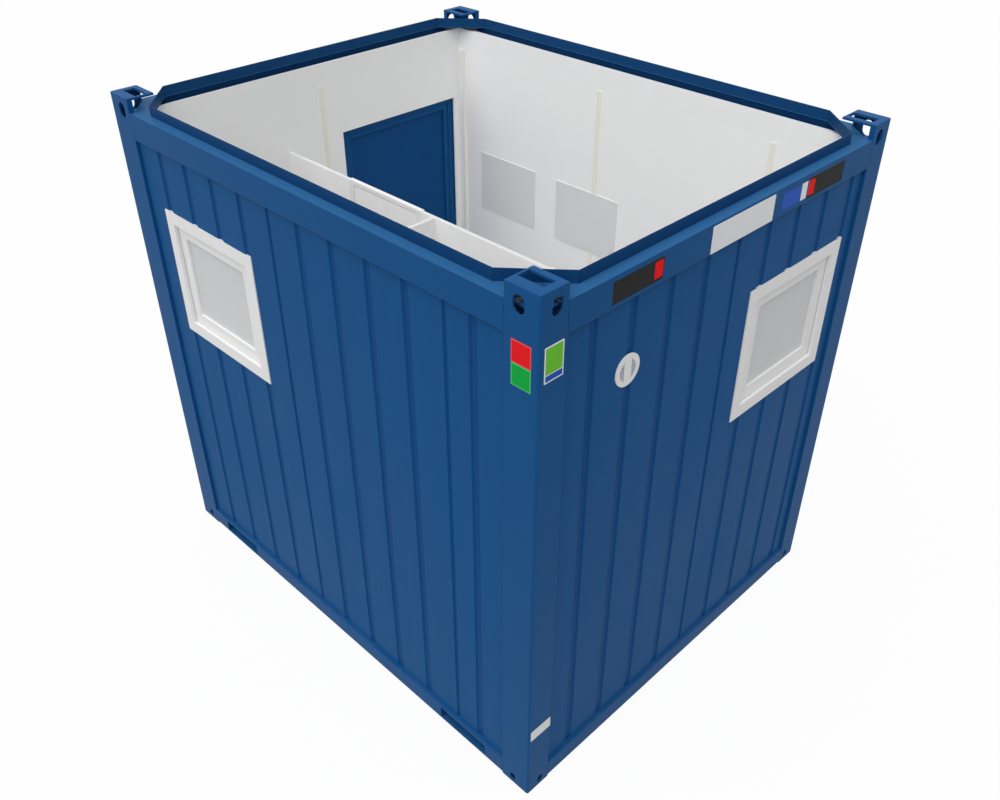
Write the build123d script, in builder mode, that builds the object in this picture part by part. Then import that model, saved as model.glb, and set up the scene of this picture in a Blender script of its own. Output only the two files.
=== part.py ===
# Sanitary container: steel frame, ribbed walls, two windows, toilet cabins and wash places.
# X runs along the long side, Y along the short side, Z up. The origin is at the bottom middle.
import os

from build123d import *

os.makedirs("parts", exist_ok=True)

# Whole container
length = 2989.0
width = 2435.0
height = 2815.0

# Clearances
joint_gap = 0.3        # between neighbouring solids that stay separate
pin_gap = 0.05         # around a turning pin
button_gap = 0.3       # around a sliding button
swing_gap = 4.0        # around doors and sashes
neck_gap = 0.3         # around handle necks
overcut = 1.0          # how far a cutting shape runs past the face it opens

# Corner posts and corner castings
post_long = 174.0      # width on the long walls
post_end = 148.0       # width on the end walls
post_wall = 6.0
post_fold = 35.0       # depth of the folded inner edge
post_round = 11.0
edge_round = 3.0
casting_wall = 10.0
casting_fold = 28.0
cap_thick = 12.0
cap_chamfer = 2.0
chamber_floor = 8.0
cap_hole = (126.0, 62.0)
cap_hole_from_end = 36.0
cap_hole_from_side = 54.5
side_hole_from_end = 102.0
side_hole_from_side = 89.0
top_hole = (79.0, 57.0)        # height and width of the upper side holes
top_hole_drop = 72.5           # below the top
bottom_hole = (50.0, 34.0)
bottom_hole_z = 40.0

# Top rails and gutter; a drop is measured down from the top of the container
rail_drop = 210.0
shelf_drop = 74.0
shelf_wide = 60.0
lip_drop = 20.0
steel = 4.0
rail_flange = 36.0
web_drop = 137.0       # lower edge of the web behind the shelf
web_past_lip = 63.0
gutter_run = 114.5     # from a casting to the end of the straight lip

# Bottom rails, fork pockets and floor
rail_low = 11.0
ledge_z = 109.0
foot_flange = 60.0
fork_wide = 332.0
fork_top = 91.0
fork_from_middle = 1027.5
pan_thick = 2.0
floor_z = 150.0
floor_thick = 22.0
floor_inset = 40.0
joist_wide = 50.0
joist_wall = 2.5
joist_out = 62.5       # middle of the outer joists, from the outer side of the fork pockets
joist_in = 137.5       # middle of the next joists, from the inner side of the fork pockets

# Wall sheets
recess = 17.5
sheet_thick = 1.0
groove_open = 48.0
groove_floor = 28.0
groove_deep = 7.5
seam_open = 28.0
seam_floor = 12.0
rib_pitch = 236.0
ribs_per_panel = 4
rib_from_seam = 229.0
narrow_panel = 400.0   # a panel narrower than this has one groove
narrow_rib = 158.5
long_seam = -182.5     # one seam of the long walls, from the middle
end_seam = 32.5

# Wall build-up
core_front = 36.3
lining_front = 87.0
lining_back = 97.0
back_board = 13.0      # second board on the back wall, behind the wash places
lining_drop = 100.0
cap_board = 10.0       # thickness of the boards that close the corners of the walls at the top
cap_board_front = 44.0
cap_board_gap = 1.0    # to the end of the rail's inner web
strip_thick = 3.0
strip_wide = 34.0
strip_drop = 235.0
strip_from_corner = 1194.0     # first strip of the back wall, from the left corner
strip_pitch = 1165.5
strip_share = 0.642    # place of the left wall's strip, from the partition to the door
corner_profile = (50.0, 17.5)  # width and thickness of the profile in the corners of the back wall

# Windows
window_wide = 792.0
window_high = 723.5
window_drop = 904.0    # window middle
front_window_from_post = 147.0
end_window_from_post = 86.5
casing_front = 11.5
casing_lip = 17.5
casing_face = 68.0
casing_edge = 18.0     # flange beyond the wall hole
casing_body = 54.0     # inner edge of the casing body, from the flange edge
casing_back = 76.0
sash_front = 31.5
sash_bar = 76.0
pane_front = 45.5
pane_thick = 24.0
pane_grip = 8.0
pane_gap = 0.3
tilt_pin = 5.0
tilt_pin_long = 24.0
tilt_pin_up = 12.0     # above the sash bottom
tilt_pin_deep = 66.0
trim_thick = 6.0
trim_edge = 10.0
grip_neck = 9.0
grip_spindle = 5.0
grip_sunk = 18.0
grip_reach = 120.0
grip_half = 9.0
grip_stand = 24.0
grip_thick = 12.0
rose_radius = 15.0
rose_thick = 6.0

# Vent and fan
vent_from_side = 537.0
vent_drop = 550.0
vent_radius = 74.5
vent_thick = 5.0
vent_band = 45.0       # plain band down the middle
slot_high = 5.5
slot_pitch = 10.5
slot_rows = 9
vent_rim = 24.0
duct_radius = 55.0
duct_wall = 3.0
fan_plate_wide = 180.0
fan_plate_thick = 3.0
fan_long = 60.0
spider_wide = 10.0
spider_thick = 6.0
motor_radius = 22.0
motor_long = 30.0
fan_shaft = 4.0
fan_hub = 18.0
fan_hub_long = 18.0
fan_gap = 3.0
blade_count = 5
blade_thick = 2.0
blade_wide = 20.0
blade_tilt = 35.0
blade_sunk = 2.0

# Entrance door in the left end wall
door_wide = 920.0
door_from_corner = 59.0
door_top = 2277.0
frame_front = 5.0
frame_out = 20.0       # the frame runs this far past the lined opening
frame_step = 35.0
rebate = 51.0
stop_front = 57.5
stop_thick = 9.0
frame_tube = 3.0
sill_z = 164.0
sill_stop_z = 178.0
leaf_front = 14.0
leaf_thick = 40.0
leaf_skin = 1.5
seal_wide = 10.0
seal_thick = 3.2
seal_inset = 3.0
hinge_deep = 8.5
hinge_off = 7.5        # from the rebate edge into the jamb
knuckle = 8.0
hinge_pin = 4.0
hinge_half = 30.0
hinge_places = (400.0, 1195.0, 1990.0)
hinge_pocket_deep = 17.5
hinge_pocket_side = 16.5
pocket_wall = 3.0
hinge_strap = 70.0
strap_thick = 4.0
lever_from_edge = 60.0
lever_z = 1200.0
lever_long = 120.0
lever_half = 9.0
lever_neck = 8.0
outer_lever = (3.0, 13.0)
inner_lever = (93.0, 105.0)
cup_low = 95.0
cup_high = 25.0
cup_near = 25.5
cup_far = 130.5
cup_back = 40.0
lock_drop = 130.0
lock_radius = 8.5
lock_proud = 4.0
lock_plate = (50.0, 70.0)
lock_plate_thick = 2.5
lock_case_long = 100.0
lock_case_edge = 4.0
lock_case_rise = 40.0

# Partitions and cabin doors
cabin_deep = 845.5
cabin_wide = 1261.5    # the cabin at the left wall
partition_thick = 22.0
partition_top = 2261.0
cabin_frame_thick = 26.5
cabin_frame_bar = 40.0
cabin_frame_head = 23.0
cabin_frame_wide = 603.0
cabin_frame_rise = 4.0
cabin_door_from_cross = 86.0
cabin_door_from_end = 114.5
cabin_leaf_thick = 20.0
cabin_leaf_lift = 10.0
pivot_in = 18.0
pivot_pin = 5.0
pivot_pin_long = 20.0
pivot_plate = 6.0
latch_in = 40.0
latch_z = 1200.0
latch_shaft = 5.0
latch_neck = 9.0
latch_arm = 70.0
latch_half = 8.0
latch_clear = 1.0
latch_thick = 7.0
latch_knob = 15.0
latch_knob_long = 12.0
latch_disc = 22.0
latch_disc_thick = 6.0

# Toilets, in sizes from the wall behind and from the floor
rim_z = 400.0
bowl_middle = 467.0
bowl_half = (215.0, 180.0)
foot_middle = 400.0
foot_half = (190.0, 110.0)
waist_z = 210.0
waist_half = (185.0, 105.0)
hollow_middle = 475.0
hollow_half = (150.0, 112.0)
hollow_low_middle = 420.0
hollow_low_half = (60.0, 50.0)
hollow_z = 190.0
deck_back = 20.0
deck_front = 300.0
deck_half = 170.0
deck_thick = 60.0
stem_back = 60.0
stem_half = 85.0
cistern_deep = 165.0
cistern_half = 190.0
cistern_high = 340.0
cistern_wall = 7.0
cistern_round = 20.0
lid_over = 5.0
lid_high = 25.0
seat_axis = 232.0
seat_axis_up = 12.0
seat_thick = 18.0
seat_lift = 2.0
seat_middle = 467.0
seat_half = (215.0, 182.0)
seat_hole_middle = 478.0
seat_hole_half = (148.0, 108.0)
seat_lug = 9.0
seat_lug_places = (-60.0, 60.0)
seat_lug_half = 20.0
seat_lug_reach = 60.0
seat_pin = 5.0
seat_post_half = 8.0
seat_post_y = 95.0
flush_radius = 22.0
flush_proud = 8.0
flush_deep = 20.0

# Washbasins, taps and traps on the back wall
basin_from_corner = 452.0
basin_pitch = 684.0
basin_rim = 1000.0
basin_wide = 500.0
basin_deep = 400.0
basin_high = 160.0
basin_foot = (300.0, 220.0)
basin_round = 60.0
bowl_wide = 420.0
bowl_deep = 260.0
bowl_down = 125.0
bowl_foot = (220.0, 130.0)
bowl_from_front = 30.0
bowl_round = 50.0
basin_drop_in = 50.0   # the basin foot sits this far from the wall
tap_from_wall = 50.0
tap_radius = 22.0
tap_high = 95.0
spout_long = 115.0
spout_radius = 11.0
spout_up = 62.0
spout_drop = 22.0
nozzle_radius = 8.0
tap_cap = 18.0
tap_cap_thick = 12.0
tap_travel_room = 8.0
tap_stem = 8.0
tap_stem_long = 26.0
tap_well = 36.0
trap_from_wall = 190.0
trap_pipe = 16.0
trap_tail_long = 90.0
trap_cup = 32.0
trap_cup_long = 100.0
trap_outlet_down = 20.0
trap_rose = 35.0
trap_rose_thick = 6.0
mirror_wide = 502.5
mirror_low = 1543.5
mirror_high = 1942.5
mirror_thick = 4.0

# Power boxes in the right end rail
power_from_side = (540.0, 549.0)  # middle of each box, from the nearer side
power_wide = 304.0
power_drop = 96.0
power_high = 98.0
power_front = 1.0
power_thick = 3.0
flap_wide = 52.0
flap_high = 72.0
flap_gap = 1.0
flap_pin = 1.5
flap_barrel = 3.0
tub_deep = 34.0
tub_wall = 2.5
tub_margin = 3.0

# Waste pipe and water inlet in the left end wall
waste_from_side = 217.5
waste_z = 238.0
waste_radius = 55.0
waste_wall = 3.0
branch_radius = 50.0
socket_radius = 59.0
socket_deep = 60.0
socket_fit = 0.2
socket_step = 5.0
pipe_gap = 1.0
inlet_from_side = 357.5
inlet_z = 238.0
inlet_radius = 18.0
inlet_bore = 12.1
inlet_bore_deep = 30.0
inlet_front = 2.0
inlet_flange = 28.0
inlet_flange_thick = 4.0
inlet_tail = 110.0

# Derived places
half_length = length / 2
half_width = width / 2
room_x = half_length - lining_back
room_y = half_width - lining_back
back_y = room_y - back_board
panel_y = (cabin_deep - room_y, cabin_deep + partition_thick - room_y)
long_run = length - 2 * post_long
end_run = width - 2 * post_end
rail_bottom = height - rail_drop
shelf_z = height - shelf_drop
lip_top = height - lip_drop
inner_web_low = height - web_drop
lining_top = height - lining_drop
strip_top = height - strip_drop
window_z = height - window_drop
front_window_x = front_window_from_post + window_wide / 2 - long_run / 2
end_window_y = end_run / 2 - end_window_from_post - window_wide / 2
vent_y = vent_from_side - half_width
vent_z = height - vent_drop
door_high_y = back_y - door_from_corner
door_low_y = door_high_y - door_wide
leaf_back = leaf_front + leaf_thick
basin_places = (basin_from_corner - room_x, basin_from_corner + basin_pitch - room_x)
power_places = (power_from_side[0] - half_width, half_width - power_from_side[1])
power_top = height - power_drop
power_low = power_top - power_high
waste_y = waste_from_side - half_width
inlet_y = inlet_from_side - half_width

front = Plane(origin=(0, -half_width, 0), x_dir=(1, 0, 0), z_dir=(0, -1, 0))
right = Plane(origin=(half_length, 0, 0), x_dir=(0, 1, 0), z_dir=(1, 0, 0))
back = Plane(origin=(0, half_width, 0), x_dir=(-1, 0, 0), z_dir=(0, 1, 0))
left = Plane(origin=(-half_length, 0, 0), x_dir=(0, -1, 0), z_dir=(-1, 0, 0))


def block(x, y, z, mode=Mode.ADD):
    """A box between the low and high values given for each axis."""
    with Locations(((x[0] + x[1]) / 2, (y[0] + y[1]) / 2, (z[0] + z[1]) / 2)):
        Box(x[1] - x[0], y[1] - y[0], z[1] - z[0], mode=mode)


def wall_block(face, u, v, deep, mode=Mode.ADD):
    """A box in a wall: u to the right seen from outside, v up, deep inwards."""
    middle = Pos((u[0] + u[1]) / 2, (v[0] + v[1]) / 2, -(deep[0] + deep[1]) / 2)
    with Locations(face.location * middle):
        Box(u[1] - u[0], v[1] - v[0], deep[1] - deep[0], mode=mode)


def rod(start, end, radius, mode=Mode.ADD):
    """A round bar from one point to another."""
    run = Vector(*end) - Vector(*start)
    with Locations(Plane(origin=start, z_dir=run).location):
        Cylinder(radius, run.length, align=(Align.CENTER, Align.CENTER, Align.MIN), mode=mode)


def prism(plane, outline, depth):
    """An outline on a plane, drawn out along the plane's normal."""
    with BuildPart() as made:
        with BuildSketch(plane):
            with BuildLine():
                Polyline(*outline, close=True)
            make_face()
        extrude(amount=depth)
    return made.part


def across(face, u):
    """Section plane of a wall: local x inwards, local y up, normal along the wall."""
    return Plane(origin=face.origin + face.x_dir * u, x_dir=face.z_dir * -1, z_dir=face.x_dir)


def upright(face, z):
    """Plan plane of a wall: local x along the wall, local y inwards, normal up."""
    return Plane(origin=face.origin + Vector(0, 0, z), x_dir=face.x_dir, z_dir=(0, 0, 1))


def corner_section(wall, fold):
    """Folded corner profile seen from above, at the corner of the front and right walls."""
    end_x = half_length
    side_y = -half_width
    far_x = end_x - post_long
    far_y = side_y + post_end
    with BuildSketch() as section:
        with BuildLine():
            Polyline(
                (end_x, side_y), (far_x, side_y), (far_x, side_y + fold), (far_x + wall, side_y + fold),
                (far_x + wall, side_y + wall), (end_x - wall, side_y + wall), (end_x - wall, far_y - wall),
                (end_x - fold, far_y - wall), (end_x - fold, far_y), (end_x, far_y), close=True,
            )
        make_face()
        fillet(section.vertices().sort_by_distance((end_x, side_y))[0], radius=post_round)
        for place in ((far_x, side_y), (end_x, far_y)):
            fillet(section.vertices().sort_by_distance(place)[0], radius=edge_round)
    return section.sketch


def corner_plate():
    """Full rectangle of a corner casting seen from above, with its outer corner rounded."""
    with BuildSketch() as plate:
        with Locations((half_length - post_long / 2, -half_width + post_end / 2)):
            Rectangle(post_long, post_end)
        fillet(plate.vertices().sort_by_distance((half_length, -half_width))[0], radius=post_round)
    return plate.sketch


def boards(face, u, v, deep, hole=None):
    """A wall layer as flat boards, set around one rectangular hole."""
    if hole is None:
        wall_block(face, u, v, deep)
        return
    hole_u, hole_v = hole
    wall_block(face, (u[0], hole_u[0] - joint_gap), v, deep)
    wall_block(face, (hole_u[1] + joint_gap, u[1]), v, deep)
    wall_block(face, hole_u, (hole_v[1], v[1]), deep)
    if hole_v[0] > v[0]:
        wall_block(face, hole_u, (v[0], hole_v[0]), deep)


def ring_bars(face, middle, size, offsets, deep):
    """Four butted bars around a rectangle; the offsets are measured inwards from its edge."""
    far_u = size[0] / 2 - offsets[0]
    near_u = size[0] / 2 - offsets[1]
    far_v = size[1] / 2 - offsets[0]
    near_v = size[1] / 2 - offsets[1]
    u, v = middle
    for low, high in ((near_v, far_v), (-far_v, -near_v)):
        wall_block(face, (u - far_u, u + far_u), (v + low, v + high), deep)
    for low, high in ((near_u, far_u), (-far_u, -near_u)):
        wall_block(face, (u + low, u + high), (v - near_v + joint_gap, v + near_v - joint_gap), deep)


def ribbed_sheet(face, run, seam):
    """A wall sheet with pressed grooves and narrow panel seams."""
    module = 2 * rib_from_seam + (ribs_per_panel - 1) * rib_pitch
    half_run = run / 2 - joint_gap
    edge = half_run - groove_open
    folds = []
    for start in [seam + step * module for step in range(-2, 3)]:
        if abs(start) < edge:
            folds.append((start, seam_open, seam_floor))
        if half_run - start < narrow_panel:
            ribs = [start + narrow_rib]
        else:
            ribs = [start + rib_from_seam + rib_pitch * step for step in range(ribs_per_panel)]
        folds += [(rib, groove_open, groove_floor) for rib in ribs if abs(rib) < edge]
    outer = [(-half_run, recess)]
    for place, opening, floor in sorted(folds):
        outer += [(place - opening / 2, recess), (place - floor / 2, recess + groove_deep)]
        outer += [(place + floor / 2, recess + groove_deep), (place + opening / 2, recess)]
    outer.append((half_run, recess))
    inner = [(u, deep + sheet_thick) for u, deep in reversed(outer)]
    return prism(upright(face, ledge_z), outer + inner, rail_bottom - ledge_z)


def window_hole(middle_u):
    """Hole in the wall for a window, as ranges along and up the wall."""
    half_u = window_wide / 2 - casing_edge + joint_gap
    half_v = window_high / 2 - casing_edge + joint_gap
    return (middle_u - half_u, middle_u + half_u), (window_z - half_v, window_z + half_v)


# Corner posts
post_outline = corner_section(post_wall, post_fold)
with BuildPart() as corner_posts:
    with BuildSketch(Plane.XY.offset(ledge_z)):
        add(post_outline)
    extrude(amount=rail_bottom - ledge_z)
    mirror(about=Plane.YZ)
    mirror(about=Plane.XZ)

# Corner castings: folded walls closed by a plate, with lifting holes
casting_outline = corner_section(casting_wall, casting_fold)
casting_plate = corner_plate()
casting_x = half_length - side_hole_from_end
casting_y = -half_width + side_hole_from_side
with BuildPart() as top_corner_castings:
    with BuildSketch(Plane.XY.offset(rail_bottom)):
        add(casting_outline)
    extrude(amount=height - cap_thick - rail_bottom)
    with BuildSketch(Plane.XY.offset(height - cap_thick)):
        add(casting_plate)
    extrude(amount=cap_thick)
    with BuildSketch(Plane.XY.offset(rail_bottom)):
        add(casting_plate)
    extrude(amount=chamber_floor)
    block(
        (0.0, half_length - lining_front + joint_gap), (-half_width + lining_front - joint_gap, 0.0),
        (rail_bottom, rail_bottom + chamber_floor), mode=Mode.SUBTRACT,
    )
    cap_edges = top_corner_castings.faces().sort_by(Axis.Z)[-1].outer_wire().edges()
    chamfer(cap_edges, length=cap_chamfer)
    block(
        (half_length - cap_hole_from_end - cap_hole[0], half_length - cap_hole_from_end),
        (-half_width + cap_hole_from_side, -half_width + cap_hole_from_side + cap_hole[1]),
        (height - 2 * cap_thick, height + cap_thick), mode=Mode.SUBTRACT,
    )
    with BuildSketch(front):
        with Locations((casting_x, height - top_hole_drop)):
            SlotOverall(top_hole[0], top_hole[1], rotation=90)
    extrude(amount=-casting_fold, mode=Mode.SUBTRACT)
    with BuildSketch(right):
        with Locations((casting_y, height - top_hole_drop)):
            SlotOverall(top_hole[0], top_hole[1], rotation=90)
    extrude(amount=-casting_fold, mode=Mode.SUBTRACT)
    mirror(about=Plane.YZ)
    mirror(about=Plane.XZ)

with BuildPart() as bottom_corner_castings:
    with BuildSketch(Plane.XY):
        add(casting_outline)
    extrude(amount=ledge_z)
    for plate_z in (0.0, ledge_z - chamber_floor):
        with BuildSketch(Plane.XY.offset(plate_z)):
            add(casting_plate)
        extrude(amount=chamber_floor)
    with BuildSketch(front):
        with Locations((casting_x, bottom_hole_z)):
            SlotOverall(bottom_hole[0], bottom_hole[1], rotation=90)
    extrude(amount=-casting_fold, mode=Mode.SUBTRACT)
    with BuildSketch(right):
        with Locations((casting_y, bottom_hole_z)):
            SlotOverall(bottom_hole[0], bottom_hole[1], rotation=90)
    extrude(amount=-casting_fold, mode=Mode.SUBTRACT)
    mirror(about=Plane.YZ)
    mirror(about=Plane.XZ)

# Top rails: web, bottom flange and shelf run between the castings; the lip stops at the gutter corners
shelf_outline = [
    (0, rail_bottom), (0, shelf_z), (shelf_wide, shelf_z), (shelf_wide, shelf_z - steel),
    (steel, shelf_z - steel), (steel, rail_bottom + steel), (rail_flange, rail_bottom + steel),
    (rail_flange, rail_bottom),
]
lip_outline = [
    (shelf_wide - steel, shelf_z - steel), (shelf_wide, shelf_z - steel), (shelf_wide, lip_top),
    (shelf_wide - steel, lip_top),
]
web_outline = [
    (shelf_wide - 2 * steel, inner_web_low), (shelf_wide - steel, inner_web_low),
    (shelf_wide - steel, shelf_z), (shelf_wide - 2 * steel, shelf_z),
]
power_hole = power_wide / 2 + joint_gap
with BuildPart() as top_rails:
    for face, run in ((front, long_run), (right, end_run), (back, long_run), (left, end_run)):
        lip_run = run - 2 * gutter_run
        add(prism(across(face, -run / 2), shelf_outline, run))
        add(prism(across(face, -lip_run / 2), lip_outline, lip_run))
        web_run = lip_run + 2 * web_past_lip
        add(prism(across(face, -web_run / 2), web_outline, web_run))
    for place in power_places:
        wall_block(
            right, (place - power_hole, place + power_hole),
            (power_low - joint_gap, power_top + joint_gap), (-steel, 2 * steel), mode=Mode.SUBTRACT,
        )

# Gutter corners: a flat plate inside each casting, with the lip run across the corner
gutter_a = (half_length - post_long - gutter_run, -half_width + shelf_wide)
gutter_b = (half_length - shelf_wide, -half_width + post_end + gutter_run)
gutter_plate = [
    gutter_a, (half_length - post_long, -half_width + shelf_wide),
    (half_length - post_long, -half_width + casting_fold + joint_gap),
    (half_length - casting_fold - joint_gap, -half_width + post_end),
    (half_length - shelf_wide, -half_width + post_end), gutter_b,
]
gutter_lip = [gutter_a, gutter_b, (gutter_b[0] + steel, gutter_b[1]), (gutter_a[0], gutter_a[1] - steel)]
with BuildPart() as gutter_corners:
    add(prism(Plane.XY.offset(shelf_z - steel), gutter_plate, steel))
    add(prism(Plane.XY.offset(shelf_z), gutter_lip, lip_top - shelf_z))
    mirror(about=Plane.YZ)
    mirror(about=Plane.XZ)

# Bottom rails, with openings for the fork pockets in the long ones
foot_outline = [
    (0, rail_low), (0, ledge_z), (rail_flange, ledge_z), (rail_flange, ledge_z - steel),
    (steel, ledge_z - steel), (steel, rail_low + steel), (foot_flange, rail_low + steel),
    (foot_flange, rail_low),
]
fork_half = fork_wide / 2 + steel
fork_places = (-fork_from_middle, fork_from_middle)
with BuildPart() as bottom_rails:
    for face, run in ((front, long_run), (right, end_run), (back, long_run), (left, end_run)):
        add(prism(across(face, -run / 2), foot_outline, run))
    for place in fork_places:
        block(
            (place - fork_half, place + fork_half), (-width, width),
            (0.0, fork_top + steel), mode=Mode.SUBTRACT,
        )

with BuildPart() as fork_pockets:
    for place in fork_places:
        block(
            (place - fork_half, place + fork_half), (-half_width, half_width), (rail_low, fork_top + steel),
        )
        block(
            (place - fork_wide / 2, place + fork_wide / 2), (-width, width),
            (rail_low + steel, fork_top), mode=Mode.SUBTRACT,
        )

# Floor: bottom sheet between the pockets, joists across, board on top
pan_top = rail_low + steel + pan_thick
floor_low = floor_z - floor_thick
pan_x = half_length - rail_flange
fork_out = fork_from_middle + fork_half
fork_in = fork_from_middle - fork_half
with BuildPart() as bottom_sheet:
    for low, high in ((-pan_x, -fork_out), (-fork_in, fork_in), (fork_out, pan_x)):
        block(
            (low, high), (-half_width + post_end, half_width - post_end), (rail_low + steel, pan_top),
        )

joist_far = fork_out + joist_out
joist_near = fork_in - joist_in
joist_places = (-joist_far, -joist_near, -joist_near / 2, 0.0, joist_near / 2, joist_near, joist_far)
with BuildPart() as floor_joists:
    for place in joist_places:
        joist_y = half_width - rail_flange - joint_gap
        block((place - joist_wide / 2, place + joist_wide / 2), (-joist_y, joist_y), (pan_top, floor_low))
        block(
            (place - joist_wide / 2 + joist_wall, place + joist_wide / 2 - joist_wall), (-width, width),
            (pan_top + joist_wall, floor_low - joist_wall), mode=Mode.SUBTRACT,
        )

with BuildPart() as floor_board:
    block(
        (-half_length + floor_inset, half_length - floor_inset),
        (-half_width + floor_inset, half_width - floor_inset), (floor_low, floor_z),
    )

# Holes that pass through the walls
front_hole = window_hole(front_window_x)
end_hole = window_hole(end_window_y)
door_hole = (
    (-door_high_y - frame_out - joint_gap, -door_low_y + frame_out + joint_gap),
    (floor_z, door_top + frame_out + joint_gap),
)
lined_door_hole = ((-door_high_y, -door_low_y), (floor_z, door_top))


def cut_vent():
    rod((half_length, vent_y, vent_z), (0, vent_y, vent_z), duct_radius + pipe_gap, mode=Mode.SUBTRACT)


def cut_services():
    outer = -half_length
    inner = -half_length + 2 * lining_back
    rod((outer, waste_y, waste_z), (inner, waste_y, waste_z), socket_radius + pipe_gap, Mode.SUBTRACT)
    rod((outer, inlet_y, inlet_z), (inner, inlet_y, inlet_z), inlet_radius + pipe_gap, Mode.SUBTRACT)


# Outer wall sheets
sheet_cut = (0.0, lining_back)
with BuildPart() as front_wall_sheet:
    add(ribbed_sheet(front, long_run, long_seam))
    wall_block(front, front_hole[0], front_hole[1], sheet_cut, mode=Mode.SUBTRACT)

with BuildPart() as right_wall_sheet:
    add(ribbed_sheet(right, end_run, end_seam))
    wall_block(right, end_hole[0], end_hole[1], sheet_cut, mode=Mode.SUBTRACT)
    cut_vent()

with BuildPart() as back_wall_sheet:
    add(ribbed_sheet(back, long_run, long_seam))

with BuildPart() as left_wall_sheet:
    add(ribbed_sheet(left, end_run, end_seam))
    wall_block(left, door_hole[0], (0.0, door_hole[1][1]), sheet_cut, mode=Mode.SUBTRACT)
    cut_services()

# Insulation in the walls and between the floor joists
core_deep = (core_front, lining_front)
core_high = (floor_z, inner_web_low - joint_gap)
core_long = long_run / 2 - joint_gap
core_end = end_run / 2 - joint_gap
with BuildPart() as insulation:
    boards(front, (-core_long, core_long), core_high, core_deep, front_hole)
    boards(back, (-core_long, core_long), core_high, core_deep)
    boards(right, (-core_end, core_end), core_high, core_deep, end_hole)
    boards(left, (-core_end, core_end), core_high, core_deep, door_hole)
    for low, high in zip(joist_places, joist_places[1:]):
        if abs(low + high) / 2 < fork_in - joist_wide:
            block(
                (low + joist_wide / 2 + joint_gap, high - joist_wide / 2 - joint_gap),
                (-half_width + core_front, half_width - core_front),
                (pan_top + joint_gap, floor_low - joint_gap),
            )
    cut_vent()
    cut_services()

# White inner lining, with boards that close the corners of the walls at the top
lining_deep = (lining_front, lining_back)
back_deep = (lining_front, lining_back + back_board)
lining_high = (floor_z, lining_top)
lining_end = half_width - lining_front
cap_deep = (cap_board_front, lining_front - joint_gap)
cap_high = (lining_top - cap_board, lining_top)
cap_long = half_length - cap_deep[0]
with BuildPart() as wall_linings:
    boards(front, (-room_x + joint_gap, room_x - joint_gap), lining_high, lining_deep, front_hole)
    boards(back, (-room_x + joint_gap, room_x - joint_gap), lining_high, back_deep)
    boards(right, (-lining_end, lining_end), lining_high, lining_deep, end_hole)
    boards(left, (-lining_end, lining_end), lining_high, lining_deep, lined_door_hole)
    for face, run, reach in (
        (front, long_run, cap_long), (right, end_run, lining_end), (back, long_run, cap_long),
        (left, end_run, lining_end),
    ):
        web_end = run / 2 - gutter_run + web_past_lip + cap_board_gap
        wall_block(face, (-reach, -web_end), cap_high, cap_deep)
        wall_block(face, (web_end, reach), cap_high, cap_deep)
    cut_vent()
    cut_services()

# Strips over the lining joints; a mirror and a basin interrupt one of them
basin_low = basin_rim - basin_high
strip_spans = (
    (floor_z, basin_low - joint_gap), (basin_rim + joint_gap, mirror_low - joint_gap),
    (mirror_high + joint_gap, strip_top),
)
strip_y = (back_y - strip_thick, back_y)
strip_x = (-room_x, strip_thick - room_x)
left_strip = panel_y[1] + strip_share * (door_low_y - panel_y[1])
back_strips = (strip_from_corner - room_x, strip_from_corner + strip_pitch - room_x)
with BuildPart() as joint_strips:
    for low, high in strip_spans:
        block((back_strips[0] - strip_wide / 2, back_strips[0] + strip_wide / 2), strip_y, (low, high))
    block(
        (back_strips[1] - strip_wide / 2, back_strips[1] + strip_wide / 2), strip_y, (floor_z, strip_top),
    )
    block(strip_x, (left_strip - strip_wide / 2, left_strip + strip_wide / 2), (floor_z, strip_top))
    for side_x in (-1, 1):
        profile_x = sorted((side_x * (room_x - joint_gap), side_x * (room_x - corner_profile[0])))
        block(profile_x, (back_y - corner_profile[1], back_y), (floor_z, strip_top))

# Windows: a casing in the wall, and a sash that tilts inwards about pins near its bottom edge
window_size = (window_wide, window_high)
sash_edge = casing_body + swing_gap
sash_size = (window_wide - 2 * sash_edge, window_high - 2 * sash_edge)
glass_size = (sash_size[0] - 2 * (sash_bar - pane_grip), sash_size[1] - 2 * (sash_bar - pane_grip))
pin_v = window_z - sash_size[1] / 2 + tilt_pin_up
grip_v = window_z + sash_size[1] / 2 - sash_bar / 2


def tilt_pins(face, middle_u, radius, mode=Mode.ADD):
    """Both tilt pins of a window, or the holes for them."""
    for side in (-1, 1):
        ends = [
            face.location * Pos(middle_u + side * reach, pin_v, -tilt_pin_deep)
            for reach in (window_wide / 2 - casing_body, window_wide / 2 - casing_body - tilt_pin_long)
        ]
        rod(ends[0].position, ends[1].position, radius, mode=mode)


def window_casing(face, middle_u):
    middle = (middle_u, window_z)
    lip_back = casing_front + casing_lip
    with BuildPart() as made:
        ring_bars(face, middle, window_size, (0.0, casing_face), (casing_front, recess))
        ring_bars(face, middle, window_size, (casing_edge, casing_face), (recess + joint_gap, lip_back))
        ring_bars(face, middle, window_size, (casing_edge, casing_body), (lip_back + joint_gap, casing_back))
        tilt_pins(face, middle_u, tilt_pin)
    return made.part


def window_sash(face, middle_u):
    middle = (middle_u, window_z)
    half_u = glass_size[0] / 2 + pane_gap
    half_v = glass_size[1] / 2 + pane_gap
    spindle = (middle_u, grip_v)
    with BuildPart() as made:
        ring_bars(face, middle, sash_size, (0.0, sash_bar), (sash_front, casing_back))
        wall_block(
            face, (middle_u - half_u, middle_u + half_u), (window_z - half_v, window_z + half_v),
            (pane_front - pane_gap, pane_front + pane_thick + pane_gap), mode=Mode.SUBTRACT,
        )
        tilt_pins(face, middle_u, tilt_pin + pin_gap, mode=Mode.SUBTRACT)
        grip_rod(
            face, spindle, (casing_back - grip_sunk - overcut, casing_back + overcut),
            grip_spindle + pin_gap, Mode.SUBTRACT,
        )
    return made.part


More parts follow.
